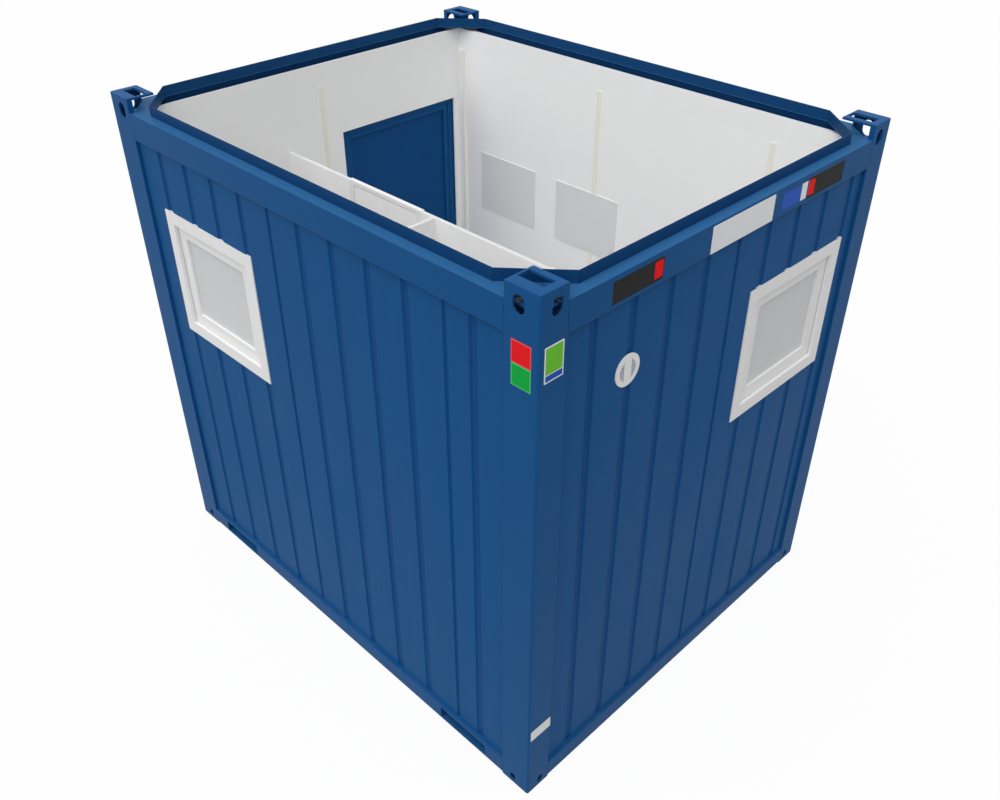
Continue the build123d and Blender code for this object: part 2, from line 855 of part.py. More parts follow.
def grip_rod(face, place, deep, radius, mode=Mode.ADD):
    """A round bar straight through a wall between two depths."""
    ends = [(face.location * Pos(place[0], place[1], -value)).position for value in deep]
    rod(ends[0], ends[1], radius, mode=mode)


def window_pane(face, middle_u):
    with BuildPart() as made:
        wall_block(
            face, (middle_u - glass_size[0] / 2, middle_u + glass_size[0] / 2),
            (window_z - glass_size[1] / 2, window_z + glass_size[1] / 2),
            (pane_front, pane_front + pane_thick),
        )
    return made.part


def window_grip(face, middle_u):
    place = (middle_u, grip_v)
    rose_front = casing_back + joint_gap
    bar_front = rose_front + grip_stand
    with BuildPart() as made:
        grip_rod(face, place, (casing_back - grip_sunk, bar_front), grip_spindle)
        grip_rod(face, place, (rose_front, rose_front + rose_thick), rose_radius)
        grip_rod(face, place, (rose_front, bar_front + grip_thick), grip_neck)
        wall_block(
            face, (middle_u - grip_half, middle_u + grip_reach), (grip_v - grip_half, grip_v + grip_half),
            (bar_front, bar_front + grip_thick),
        )
    return made.part


with BuildPart() as front_window_casing:
    add(window_casing(front, front_window_x))

with BuildPart() as front_window_sash:
    add(window_sash(front, front_window_x))

with BuildPart() as front_window_glass:
    add(window_pane(front, front_window_x))

with BuildPart() as front_window_handle:
    add(window_grip(front, front_window_x))

with BuildPart() as end_window_casing:
    add(window_casing(right, end_window_y))

with BuildPart() as end_window_sash:
    add(window_sash(right, end_window_y))

with BuildPart() as end_window_glass:
    add(window_pane(right, end_window_y))

with BuildPart() as end_window_handle:
    add(window_grip(right, end_window_y))

with BuildPart() as window_reveals:
    for face, place in ((front, front_window_x), (right, end_window_y)):
        middle = (place, window_z)
        ring_bars(
            face, middle, window_size, (casing_edge, casing_body), (casing_back + joint_gap, lining_back),
        )
        ring_bars(
            face, middle, window_size, (-trim_edge, casing_body), (lining_back, lining_back + trim_thick),
        )

# Vent grille outside, fan inside, on one axis through the right wall
vent = (vent_y, vent_z)
with BuildPart() as vent_grille:
    grip_rod(right, vent, (recess - vent_thick, recess), vent_radius)
    for row in range(slot_rows):
        slot_v = (row - (slot_rows - 1) / 2) * slot_pitch
        reach = ((vent_radius - vent_rim) ** 2 - (abs(slot_v) + slot_high / 2) ** 2) ** 0.5
        for side in (-1, 1):
            far = max(reach, vent_band / 2 + slot_high)
            slot_u = sorted((vent_y + side * vent_band / 2, vent_y + side * far))
            wall_block(
                right, slot_u, (vent_z + slot_v - slot_high / 2, vent_z + slot_v + slot_high / 2),
                (0.0, lining_back), mode=Mode.SUBTRACT,
            )

shroud_front = lining_back + fan_plate_thick
shroud_back = lining_back + fan_long
motor_front = shroud_back - motor_long
hub_front = motor_front - fan_gap - fan_hub_long
duct_inner = duct_radius - duct_wall
with BuildPart() as fan_housing:
    grip_rod(right, vent, (recess + groove_deep + sheet_thick, shroud_back), duct_radius)
    wall_block(
        right, (vent_y - fan_plate_wide / 2, vent_y + fan_plate_wide / 2),
        (vent_z - fan_plate_wide / 2, vent_z + fan_plate_wide / 2), (lining_back, shroud_front),
    )
    grip_rod(right, vent, (0.0, 2 * shroud_back), duct_inner, Mode.SUBTRACT)
    spider = duct_inner + overcut
    for half_u, half_v in ((spider, spider_wide / 2), (spider_wide / 2, spider)):
        wall_block(
            right, (vent_y - half_u, vent_y + half_u), (vent_z - half_v, vent_z + half_v),
            (shroud_back - spider_thick, shroud_back),
        )
    grip_rod(right, vent, (motor_front, shroud_back), motor_radius)
    grip_rod(right, vent, (hub_front, motor_front), fan_shaft)

blade_inner = fan_hub - blade_sunk
blade_outer = duct_inner - fan_gap
blade_middle = hub_front + fan_hub_long / 2
with BuildPart() as fan_impeller:
    grip_rod(right, vent, (hub_front, hub_front + fan_hub_long), fan_hub)
    for step in range(blade_count):
        turn = Rot(0, 0, 360 / blade_count * step)
        arm = Pos((blade_inner + blade_outer) / 2, 0, 0)
        hub = right.location * Pos(vent_y, vent_z, -blade_middle)
        with Locations(hub * turn * arm * Rot(blade_tilt, 0, 0)):
            Box(blade_outer - blade_inner, blade_wide, blade_thick)
    grip_rod(right, vent, (hub_front - overcut, motor_front), fan_shaft + pin_gap, Mode.SUBTRACT)

# Entrance door frame: tubes with a stop behind them, a header and a sill
face_x = -half_length
tube_x = (face_x + frame_front, face_x + stop_front - joint_gap)
stop_x = (face_x + stop_front, face_x + stop_front + stop_thick)
step_x = (stop_x[1] + joint_gap, stop_x[1] + joint_gap + stop_thick)
leaf_y = (door_low_y + rebate + swing_gap, door_high_y - rebate - swing_gap)
leaf_z = (sill_z + swing_gap, door_top - rebate - swing_gap)
hinge_x = face_x + hinge_deep
hinge_y = door_high_y - rebate + hinge_off
frame_top = door_top + frame_out
with BuildPart() as entrance_door_frame:
    for edge, inward in ((door_low_y, 1), (door_high_y, -1)):
        outer = edge - inward * frame_out
        tube_y = sorted((outer, edge + inward * rebate))
        block(tube_x, tube_y, (floor_z, frame_top))
        block(
            (tube_x[0] + frame_tube, tube_x[1] - frame_tube),
            (tube_y[0] + frame_tube, tube_y[1] - frame_tube),
            (floor_z - floor_thick, frame_top + floor_thick), mode=Mode.SUBTRACT,
        )
        block(stop_x, sorted((outer, edge + inward * 2 * frame_step)), (floor_z, frame_top))
        block(step_x, sorted((outer, edge + inward * frame_step)), (floor_z, frame_top))
    head_y = (door_low_y + rebate + joint_gap, door_high_y - rebate - joint_gap)
    block(tube_x, head_y, (door_top - rebate, frame_top))
    block(
        (tube_x[0] + frame_tube, tube_x[1] - frame_tube), (-width, width),
        (door_top - rebate + frame_tube, frame_top - frame_tube), mode=Mode.SUBTRACT,
    )
    stop_y = (door_low_y + 2 * frame_step + joint_gap, door_high_y - 2 * frame_step - joint_gap)
    step_y = (door_low_y + frame_step + joint_gap, door_high_y - frame_step - joint_gap)
    block(stop_x, stop_y, (door_top - 2 * frame_step, frame_top))
    block(step_x, step_y, (door_top - frame_step, frame_top))
    block(tube_x, head_y, (floor_z, sill_z))
    block((stop_x[0], step_x[1]), stop_y, (floor_z, sill_stop_z))
    sill_y = (door_low_y - frame_out, door_high_y + frame_out)
    block((tube_x[0], face_x + core_front - joint_gap), sill_y, (ledge_z, floor_z - joint_gap))
    pocket_y = (door_high_y - rebate, door_high_y - rebate + hinge_pocket_side)
    for place in hinge_places:
        pocket_z = (place - 2 * hinge_half - joint_gap, place + 2 * hinge_half + joint_gap)
        block(
            (tube_x[0], face_x + hinge_pocket_deep + pocket_wall), (pocket_y[0], pocket_y[1] + pocket_wall),
            (pocket_z[0] - pocket_wall, pocket_z[1] + pocket_wall),
        )
        block(
            (face_x, face_x + hinge_pocket_deep), (pocket_y[0] - overcut, pocket_y[1]), pocket_z,
            mode=Mode.SUBTRACT,
        )

# Door seal on the stop
seal_x = (face_x + stop_front - seal_thick, face_x + stop_front)
seal_low = door_low_y + 2 * frame_step - seal_inset
seal_high = door_high_y - 2 * frame_step + seal_inset
seal_top = door_top - 2 * frame_step + seal_inset
with BuildPart() as door_seal:
    block(seal_x, (seal_low - seal_wide, seal_low), (sill_stop_z, seal_top))
    block(seal_x, (seal_high, seal_high + seal_wide), (sill_stop_z, seal_top))
    block(seal_x, (seal_low - seal_wide, seal_high + seal_wide), (seal_top + joint_gap, seal_top + seal_wide))

# Fixed halves of the door hinges: outer knuckles, pin, and a pad against the pocket
with BuildPart() as door_hinge_pins:
    for place in hinge_places:
        rod((hinge_x, hinge_y, place - 2 * hinge_half), (hinge_x, hinge_y, place + 2 * hinge_half), hinge_pin)
        for low, high in (
            (place - 2 * hinge_half, place - hinge_half - joint_gap),
            (place + hinge_half + joint_gap, place + 2 * hinge_half),
        ):
            rod((hinge_x, hinge_y, low), (hinge_x, hinge_y, high), knuckle)
            block((hinge_x - hinge_pin, hinge_x + hinge_pin), (hinge_y, pocket_y[1]), (low, high))

# Moving halves: a strap on the leaf and the middle knuckle
strap_x = (face_x + leaf_front - strap_thick, face_x + leaf_front)
with BuildPart() as door_hinge_leaves:
    for place in hinge_places:
        block(strap_x, (leaf_y[1] - hinge_strap, hinge_y), (place - hinge_half, place + hinge_half))
        rod((hinge_x, hinge_y, place - hinge_half), (hinge_x, hinge_y, place + hinge_half), knuckle)
        rod(
            (hinge_x, hinge_y, place - 2 * hinge_half), (hinge_x, hinge_y, place + 2 * hinge_half),
            hinge_pin + pin_gap, mode=Mode.SUBTRACT,
        )

# Door leaf: an outer tray with a recess for the lever, closed by a cover sheet
lever_y = leaf_y[0] + lever_from_edge
lock_z = lever_z - lock_drop
leaf_x = (face_x + leaf_front, face_x + leaf_back)
cover_x = leaf_x[1] - leaf_skin
cup_x = face_x + cup_back
cup_y = (lever_y - cup_near, lever_y + cup_far)
cup_z = (lever_z - cup_low, lever_z + cup_high)
with BuildPart() as entrance_door_leaf:
    block((leaf_x[0], cover_x - joint_gap), leaf_y, leaf_z)
    block(
        (leaf_x[0] + leaf_skin, leaf_x[1]), (leaf_y[0] + leaf_skin, leaf_y[1] - leaf_skin),
        (leaf_z[0] + leaf_skin, leaf_z[1] - leaf_skin), mode=Mode.SUBTRACT,
    )
    block(
        (leaf_x[0], cup_x + leaf_skin), (cup_y[0] - leaf_skin, cup_y[1] + leaf_skin),
        (cup_z[0] - leaf_skin, cup_z[1] + leaf_skin),
    )
    block((face_x, cup_x), cup_y, cup_z, mode=Mode.SUBTRACT)
    block((cover_x, leaf_x[1]), leaf_y, leaf_z)
    rod(
        (face_x, lever_y, lever_z), (face_x + 2 * leaf_back, lever_y, lever_z),
        lever_neck + neck_gap, mode=Mode.SUBTRACT,
    )
    rod(
        (face_x, lever_y, lock_z), (face_x + 2 * leaf_back, lever_y, lock_z),
        lock_radius + neck_gap, mode=Mode.SUBTRACT,
    )

with BuildPart() as door_handle:
    rod(
        (face_x + outer_lever[0], lever_y, lever_z), (face_x + inner_lever[1], lever_y, lever_z), lever_neck,
    )
    for deep in (outer_lever, inner_lever):
        block(
            (face_x + deep[0], face_x + deep[1]), (lever_y - lever_half, lever_y + lever_long),
            (lever_z - lever_half, lever_z + lever_half),
        )

with BuildPart() as door_lock:
    block(
        (cup_x + leaf_skin + joint_gap, cover_x - joint_gap),
        (leaf_y[0] + lock_case_edge, leaf_y[0] + lock_case_edge + lock_case_long),
        (lock_z - lock_case_rise, lever_z + lock_case_rise),
    )
    rod(
        (leaf_x[0] - lock_proud, lever_y, lock_z), (leaf_x[1] + lock_proud, lever_y, lock_z), lock_radius,
    )
    block(
        (leaf_x[1], leaf_x[1] + lock_plate_thick), (lever_y - lock_plate[0] / 2, lever_y + lock_plate[0] / 2),
        (lock_z - lock_plate[1] / 2, lock_z + lock_plate[1] / 2),
    )
    rod(
        (face_x, lever_y, lever_z), (face_x + 2 * leaf_back, lever_y, lever_z),
        lever_neck + neck_gap, mode=Mode.SUBTRACT,
    )

# Partitions, set between the cabin door frames
partition_y = (panel_y[0] + panel_y[1]) / 2
panel_z = (floor_z, partition_top)
cross = (cabin_wide - room_x, cabin_wide + partition_thick - room_x)
door_edges = (cross[0] - cabin_door_from_cross, room_x - cabin_door_from_end)
cabin_doors = [edge - cabin_frame_wide for edge in door_edges]
panel_edges = (-room_x, cabin_doors[0], door_edges[0], cabin_doors[1], door_edges[1], room_x)
with BuildPart() as partitions:
    for low, high in zip(panel_edges[::2], panel_edges[1::2]):
        block((low + joint_gap, high - joint_gap), panel_y, panel_z)
    block(cross, (-room_y + joint_gap, panel_y[0] - joint_gap), panel_z)
    rod(
        (cross[0] - overcut, waste_y, waste_z), (cross[1] + overcut, waste_y, waste_z),
        waste_radius + pipe_gap, mode=Mode.SUBTRACT,
    )

# Cabin door frames with pivot pins at the hinge side
cabin_y = (panel_y[0], panel_y[0] + cabin_frame_thick)
cabin_top = partition_top + cabin_frame_rise
cabin_head = cabin_top - cabin_frame_head
cabin_leaf_z = (floor_z + cabin_leaf_lift, cabin_head - swing_gap)
pivot_low = floor_z + pivot_plate
with BuildPart() as cabin_door_frames:
    for low, high in zip(cabin_doors, door_edges):
        block((low, low + cabin_frame_bar), cabin_y, (floor_z, cabin_top))
        block((high - cabin_frame_bar, high), cabin_y, (floor_z, cabin_top))
        block(
            (low + cabin_frame_bar + joint_gap, high - cabin_frame_bar - joint_gap), cabin_y,
            (cabin_head, cabin_top),
        )
        pivot_x = low + cabin_frame_bar + swing_gap + pivot_in
        block((low + cabin_frame_bar, pivot_x + pivot_in), panel_y, (floor_z, pivot_low))
        rod(
            (pivot_x, partition_y, pivot_low),
            (pivot_x, partition_y, cabin_leaf_z[0] + pivot_pin_long), pivot_pin,
        )
        rod(
            (pivot_x, partition_y, cabin_leaf_z[1] - pivot_pin_long),
            (pivot_x, partition_y, cabin_head), pivot_pin,
        )

cabin_leaf_y = (partition_y - cabin_leaf_thick / 2, partition_y + cabin_leaf_thick / 2)


def cabin_leaf(low):
    """Cabin door leaf with pivot holes top and bottom and a hole for the latch."""
    leaf_low = low + cabin_frame_bar + swing_gap
    leaf_high = low + cabin_frame_wide - cabin_frame_bar - swing_gap
    pivot_at = leaf_low + pivot_in
    latch_at = leaf_high - latch_in
    hole = pivot_pin + pin_gap
    bore = pivot_pin_long + overcut
    with BuildPart() as made:
        block((leaf_low, leaf_high), cabin_leaf_y, cabin_leaf_z)
        for start, end in (
            (cabin_leaf_z[0] - overcut, cabin_leaf_z[0] + bore),
            (cabin_leaf_z[1] - bore, cabin_leaf_z[1] + overcut),
        ):
            rod((pivot_at, partition_y, start), (pivot_at, partition_y, end), hole, mode=Mode.SUBTRACT)
        rod(
            (latch_at, cabin_y[0], latch_z), (latch_at, cabin_y[1], latch_z),
            latch_shaft + pin_gap, mode=Mode.SUBTRACT,
        )
    return made.part


def cabin_latch(low):
    """Turning latch: arm and knob on the cabin side, disc on the room side."""
    latch_at = low + cabin_frame_wide - cabin_frame_bar - swing_gap - latch_in
    arm_y = (cabin_y[0] - latch_clear - latch_thick, cabin_y[0] - latch_clear)
    disc_y = cabin_leaf_y[1] + joint_gap
    with BuildPart() as made:
        rod((latch_at, arm_y[0], latch_z), (latch_at, disc_y, latch_z), latch_shaft)
        rod((latch_at, arm_y[0], latch_z), (latch_at, cabin_leaf_y[0] - joint_gap, latch_z), latch_neck)
        rod((latch_at, arm_y[0] - latch_knob_long, latch_z), (latch_at, arm_y[0], latch_z), latch_knob)
        rod((latch_at, disc_y, latch_z), (latch_at, disc_y + latch_disc_thick, latch_z), latch_disc)
        block((latch_at - latch_half, latch_at + latch_half), arm_y, (latch_z, latch_z + latch_arm))
    return made.part


with BuildPart() as cabin_door_1:
    add(cabin_leaf(cabin_doors[0]))

with BuildPart() as cabin_door_2:
    add(cabin_leaf(cabin_doors[1]))

with BuildPart() as cabin_latch_1:
    add(cabin_latch(cabin_doors[0]))

with BuildPart() as cabin_latch_2:
    add(cabin_latch(cabin_doors[1]))

# Toilets, one against the left lining and one against the cross partition, both facing along X
toilet_y = (-room_y + panel_y[0]) / 2
toilet_walls = (-room_x, cross[1])
rim = floor_z + rim_z
tank_low = rim + joint_gap
tank_high = tank_low + cistern_high
lid_low = tank_high + joint_gap
flush_at = cistern_deep / 2


def oval_loft(wall_x, sections):
    """A smooth body through ovals given as middle, half sizes and height."""
    with BuildPart() as made:
        for middle, half, up in sections:
            with BuildSketch(Plane.XY.offset(floor_z + up)):
                with Locations((wall_x + middle, toilet_y)):
                    Ellipse(half[0], half[1])
        loft()
    return made.part


def toilet_bowl(wall_x):
    with BuildPart() as made:
        add(oval_loft(wall_x, (
            (foot_middle, foot_half, 0.0), (foot_middle, waist_half, waist_z),
            (bowl_middle, bowl_half, rim_z),
        )))
        block(
            (wall_x + deck_back, wall_x + deck_front), (toilet_y - deck_half, toilet_y + deck_half),
            (rim - deck_thick, rim),
        )
        block(
            (wall_x + stem_back, wall_x + foot_middle), (toilet_y - stem_half, toilet_y + stem_half),
            (floor_z, rim),
        )
        add(oval_loft(wall_x, (
            (hollow_low_middle, hollow_low_half, hollow_z), (hollow_middle, hollow_half, rim_z + overcut),
        )), mode=Mode.SUBTRACT)
        for side in (-1, 1):
            post_y = toilet_y + side * seat_post_y
            axis_z = rim + seat_axis_up
            block(
                (wall_x + seat_axis - seat_post_half, wall_x + seat_axis + seat_post_half),
                (post_y - seat_post_half, post_y + seat_post_half), (rim, axis_z + seat_post_half),
            )
        rod(
            (wall_x + seat_axis, toilet_y - seat_post_y, axis_z),
            (wall_x + seat_axis, toilet_y + seat_post_y, axis_z), seat_pin,
        )
    return made.part


def toilet_seat(wall_x):
    seat_low = rim + seat_lift
    axis_z = rim + seat_axis_up
    with BuildPart() as made:
        with BuildSketch(Plane.XY.offset(seat_low)):
            with Locations((wall_x + seat_middle + seat_lug, toilet_y)):
                Ellipse(seat_half[0], seat_half[1])
            with Locations((wall_x + seat_hole_middle, toilet_y)):
                Ellipse(seat_hole_half[0], seat_hole_half[1], mode=Mode.SUBTRACT)
        extrude(amount=seat_thick)
        for place in seat_lug_places:
            lug = (toilet_y + place - seat_lug_half, toilet_y + place + seat_lug_half)
            rod((wall_x + seat_axis, lug[0], axis_z), (wall_x + seat_axis, lug[1], axis_z), seat_lug)
            block(
                (wall_x + seat_axis, wall_x + seat_axis + seat_lug_reach), lug,
                (axis_z - seat_lug / 2, axis_z + seat_lug / 2),
            )
        rod(
            (wall_x + seat_axis, toilet_y - seat_post_y, axis_z),
            (wall_x + seat_axis, toilet_y + seat_post_y, axis_z), seat_pin + pin_gap, mode=Mode.SUBTRACT,
        )
    return made.part


def cistern_body(wall_x, low, high, over):
    """A rounded upright box against the wall behind the bowl."""
    with BuildPart() as made:
        with BuildSketch(Plane.XY.offset(low)):
            with Locations((wall_x + joint_gap + (cistern_deep + over) / 2, toilet_y)):
                RectangleRounded(cistern_deep + over, 2 * (cistern_half + over), cistern_round)
        extrude(amount=high - low)
    return made.part


def flush_rod(wall_x, low, high, radius, mode=Mode.ADD):
    rod((wall_x + flush_at, toilet_y, low), (wall_x + flush_at, toilet_y, high), radius, mode=mode)


with BuildPart() as toilet_bowls:
    for wall_x in toilet_walls:
        add(toilet_bowl(wall_x))

with BuildPart() as toilet_cisterns:
    for wall_x in toilet_walls:
        add(cistern_body(wall_x, tank_low, tank_high, 0.0))
        add(cistern_body(wall_x, lid_low, lid_low + lid_high, lid_over))
        block(
            (wall_x + cistern_wall, wall_x + cistern_deep - cistern_wall),
            (toilet_y - cistern_half + cistern_wall, toilet_y + cistern_half - cistern_wall),
            (tank_low + cistern_wall, tank_high), mode=Mode.SUBTRACT,
        )
        flush_rod(wall_x, tank_high, lid_low + 2 * lid_high, flush_radius, Mode.SUBTRACT)

with BuildPart() as toilet_seat_1:
    add(toilet_seat(toilet_walls[0]))

with BuildPart() as toilet_seat_2:
    add(toilet_seat(toilet_walls[1]))

flush_z = (lid_low + lid_high - flush_deep, lid_low + lid_high + flush_proud)
with BuildPart() as flush_button_1:
    flush_rod(toilet_walls[0], flush_z[0], flush_z[1], flush_radius - button_gap)

with BuildPart() as flush_button_2:
    flush_rod(toilet_walls[1], flush_z[0], flush_z[1], flush_radius - button_gap)

# Washbasins hung on the back lining, with a tap, a push button and a trap each
deck_y = back_y - tap_from_wall
tap_top = basin_rim + tap_high
cap_low = tap_top + tap_travel_room


def rounded_loft(low, high):
    """A body between two rounded rectangles, each as middle, size, round and height."""
    with BuildPart() as made:
        for middle, size, corner, up in (low, high):
            with BuildSketch(Plane.XY.offset(up)):
                with Locations(middle):
                    RectangleRounded(size[0], size[1], corner)
        loft(ruled=True)
    return made.part


basin_y = back_y - basin_deep / 2
with BuildPart() as washbasins:
    for place in basin_places:
        foot_y = back_y - basin_drop_in - basin_foot[1] / 2
        bowl_y = back_y - basin_deep + bowl_from_front + bowl_deep / 2
        add(rounded_loft(
            ((place, foot_y), basin_foot, basin_round, basin_low),
            ((place, basin_y), (basin_wide, basin_deep), basin_round, basin_rim - bowl_round),
        ))
        with BuildSketch(Plane.XY.offset(basin_rim - bowl_round)):
            with Locations((place, basin_y)):
                RectangleRounded(basin_wide, basin_deep, basin_round)
        extrude(amount=bowl_round)
        add(rounded_loft(
            ((place, foot_y), bowl_foot, bowl_round, basin_rim - bowl_down),
            ((place, bowl_y), (bowl_wide, bowl_deep), bowl_round, basin_rim + overcut),
        ), mode=Mode.SUBTRACT)

with BuildPart() as basin_taps:
    for place in basin_places:
        rod((place, deck_y, basin_rim), (place, deck_y, tap_top), tap_radius)
        spout_z = basin_rim + spout_up
        rod((place, deck_y, spout_z), (place, deck_y - spout_long, spout_z), spout_radius)
        tip_y = deck_y - spout_long + spout_radius
        rod((place, tip_y, spout_z - spout_drop), (place, tip_y, spout_z), nozzle_radius)
        rod(
            (place, deck_y, tap_top - tap_well), (place, deck_y, tap_top + overcut),
            tap_stem + button_gap, Mode.SUBTRACT,
        )


def tap_button(place):
    """Push button of a tap: a cap on a stem."""
    with BuildPart() as made:
        rod((place, deck_y, cap_low), (place, deck_y, cap_low + tap_cap_thick), tap_cap)
        rod((place, deck_y, tap_top - tap_stem_long), (place, deck_y, cap_low), tap_stem)
    return made.part


with BuildPart() as tap_button_1:
    add(tap_button(basin_places[0]))

with BuildPart() as tap_button_2:
    add(tap_button(basin_places[1]))

with BuildPart() as basin_traps:
    for place in basin_places:
        trap_y = back_y - trap_from_wall
        cup_top = basin_low - trap_tail_long
        outlet_z = cup_top - trap_outlet_down
        rod((place, trap_y, cup_top), (place, trap_y, basin_low), trap_pipe)
        rod((place, trap_y, cup_top - trap_cup_long), (place, trap_y, cup_top), trap_cup)
        rod((place, trap_y, outlet_z), (place, back_y, outlet_z), trap_pipe)
        rod((place, back_y - trap_rose_thick, outlet_z), (place, back_y, outlet_z), trap_rose)

with BuildPart() as mirrors:
    for place in basin_places:
        block(
            (place - mirror_wide / 2, place + mirror_wide / 2), (back_y - mirror_thick, back_y),
            (mirror_low, mirror_high),
        )

# Power boxes: a plate in the rail, a small tub behind the flap hole, a hinge pin across the hole
flap_places = (
    power_places[0] + power_wide / 2 - flap_wide / 2 - tub_margin,
    power_places[1] - power_wide / 2 + flap_wide / 2 + tub_margin,
)
power_z = (power_low + power_top) / 2
flap_top = power_z + flap_high / 2
flap_axis_z = flap_top - flap_barrel
flap_deep = power_front + flap_barrel
hole_half = flap_wide / 2 + flap_gap
with BuildPart() as power_boxes:
    for place, flap_at in zip(power_places, flap_places):
        wall_block(
            right, (place - power_wide / 2, place + power_wide / 2), (power_low, power_top),
            (power_front, power_front + power_thick),
        )
        wall_block(
            right, (flap_at - hole_half - tub_wall, flap_at + hole_half + tub_wall),
            (power_z - flap_high / 2 - flap_gap - tub_wall, flap_top + flap_gap + tub_wall),
            (power_front + power_thick, power_front + tub_deep),
        )
        wall_block(
            right, (flap_at - hole_half, flap_at + hole_half),
            (power_z - flap_high / 2 - flap_gap, flap_top + flap_gap),
            (0.0, power_front + tub_deep - tub_wall), mode=Mode.SUBTRACT,
        )
        pin_x = half_length - flap_deep
        rod((pin_x, flap_at - hole_half, flap_axis_z), (pin_x, flap_at + hole_half, flap_axis_z), flap_pin)


def power_flap(flap_at):
    """Flap hung on a pin along its top edge."""
    pin_x = half_length - flap_deep
    half = flap_wide / 2
    with BuildPart() as made:
        wall_block(
            right, (flap_at - half, flap_at + half), (power_z - flap_high / 2, flap_axis_z),
            (power_front, power_front + power_thick),
        )
        rod((pin_x, flap_at - half, flap_axis_z), (pin_x, flap_at + half, flap_axis_z), flap_barrel)
        rod(
            (pin_x, flap_at - hole_half, flap_axis_z), (pin_x, flap_at + hole_half, flap_axis_z),
            flap_pin + pin_gap, mode=Mode.SUBTRACT,
        )
    return made.part


with BuildPart() as power_flap_1:
    add(power_flap(flap_places[0]))

with BuildPart() as power_flap_2:
    add(power_flap(flap_places[1]))

# Waste pipe along the front lining with a socket in the left wall, and a branch to each toilet
waste_end = toilet_walls[1] + foot_middle
branch_y = toilet_y - stem_half
socket_x = -half_length + inlet_front
with BuildPart() as waste_pipe:
    rod((socket_x, waste_y, waste_z), (waste_end, waste_y, waste_z), waste_radius)
    rod((socket_x, waste_y, waste_z), (socket_x + socket_deep + socket_step, waste_y, waste_z), socket_radius)
    for wall_x in toilet_walls:
        branch_x = wall_x + deck_front / 2
        rod((branch_x, waste_y, waste_z), (branch_x, branch_y, waste_z), branch_radius)
    for wall_x in toilet_walls:
        branch_x = wall_x + deck_front / 2
        rod(
            (branch_x, waste_y, waste_z), (branch_x, branch_y, waste_z),
            branch_radius - waste_wall, Mode.SUBTRACT,
        )
    rod(
        (socket_x, waste_y, waste_z), (waste_end - waste_wall, waste_y, waste_z),
        waste_radius - waste_wall, Mode.SUBTRACT,
    )
    rod(
        (socket_x, waste_y, waste_z), (socket_x + socket_deep, waste_y, waste_z),
        waste_radius + socket_fit, Mode.SUBTRACT,
    )

with BuildPart() as water_inlet:
    inlet_x = -half_length + inlet_front
    sheet_x = -half_length + recess
    rod((inlet_x, inlet_y, inlet_z), (inlet_x + inlet_tail, inlet_y, inlet_z), inlet_radius)
    rod((sheet_x - inlet_flange_thick, inlet_y, inlet_z), (sheet_x, inlet_y, inlet_z), inlet_flange)
    rod((inlet_x, inlet_y, inlet_z), (inlet_x + inlet_bore_deep, inlet_y, inlet_z), inlet_bore, Mode.SUBTRACT)

made_parts = {
    "corner_posts": corner_posts,
    "top_corner_castings": top_corner_castings,
    "bottom_corner_castings": bottom_corner_castings,
    "top_rails": top_rails,
    "gutter_corners": gutter_corners,
    "bottom_rails": bottom_rails,
    "fork_pockets": fork_pockets,
    "bottom_sheet": bottom_sheet,
    "floor_joists": floor_joists,
    "floor_board": floor_board,
    "front_wall_sheet": front_wall_sheet,
    "right_wall_sheet": right_wall_sheet,
    "back_wall_sheet": back_wall_sheet,
    "left_wall_sheet": left_wall_sheet,
    "insulation": insulation,
    "wall_linings": wall_linings,
    "joint_strips": joint_strips,
    "front_window_casing": front_window_casing,
    "front_window_sash": front_window_sash,
    "front_window_glass": front_window_glass,
    "front_window_handle": front_window_handle,
    "end_window_casing": end_window_casing,
    "end_window_sash": end_window_sash,
    "end_window_glass": end_window_glass,
    "end_window_handle": end_window_handle,
    "window_reveals": window_reveals,
    "vent_grille": vent_grille,
    "fan_housing": fan_housing,
    "fan_impeller": fan_impeller,
    "entrance_door_frame": entrance_door_frame,
    "door_seal": door_seal,
    "door_hinge_pins": door_hinge_pins,
    "door_hinge_leaves": door_hinge_leaves,
    "entrance_door_leaf": entrance_door_leaf,
    "door_handle": door_handle,
    "door_lock": door_lock,
    "partitions": partitions,
    "cabin_door_frames": cabin_door_frames,
    "cabin_door_1": cabin_door_1,
    "cabin_door_2": cabin_door_2,
    "cabin_latch_1": cabin_latch_1,
    "cabin_latch_2": cabin_latch_2,
    "toilet_bowls": toilet_bowls,
    "toilet_cisterns": toilet_cisterns,
    "toilet_seat_1": toilet_seat_1,
    "toilet_seat_2": toilet_seat_2,
    "flush_button_1": flush_button_1,
    "flush_button_2": flush_button_2,
    "washbasins": washbasins,
    "basin_taps": basin_taps,
    "tap_button_1": tap_button_1,
    "tap_button_2": tap_button_2,
    "basin_traps": basin_traps,
    "mirrors": mirrors,
    "power_boxes": power_boxes,
    "power_flap_1": power_flap_1,
    "power_flap_2": power_flap_2,
    "waste_pipe": waste_pipe,
    "water_inlet": water_inlet,
}
for label, builder in made_parts.items():
    builder.part.label = label
    export_step(builder.part, f"parts/{label}.step")
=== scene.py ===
import math

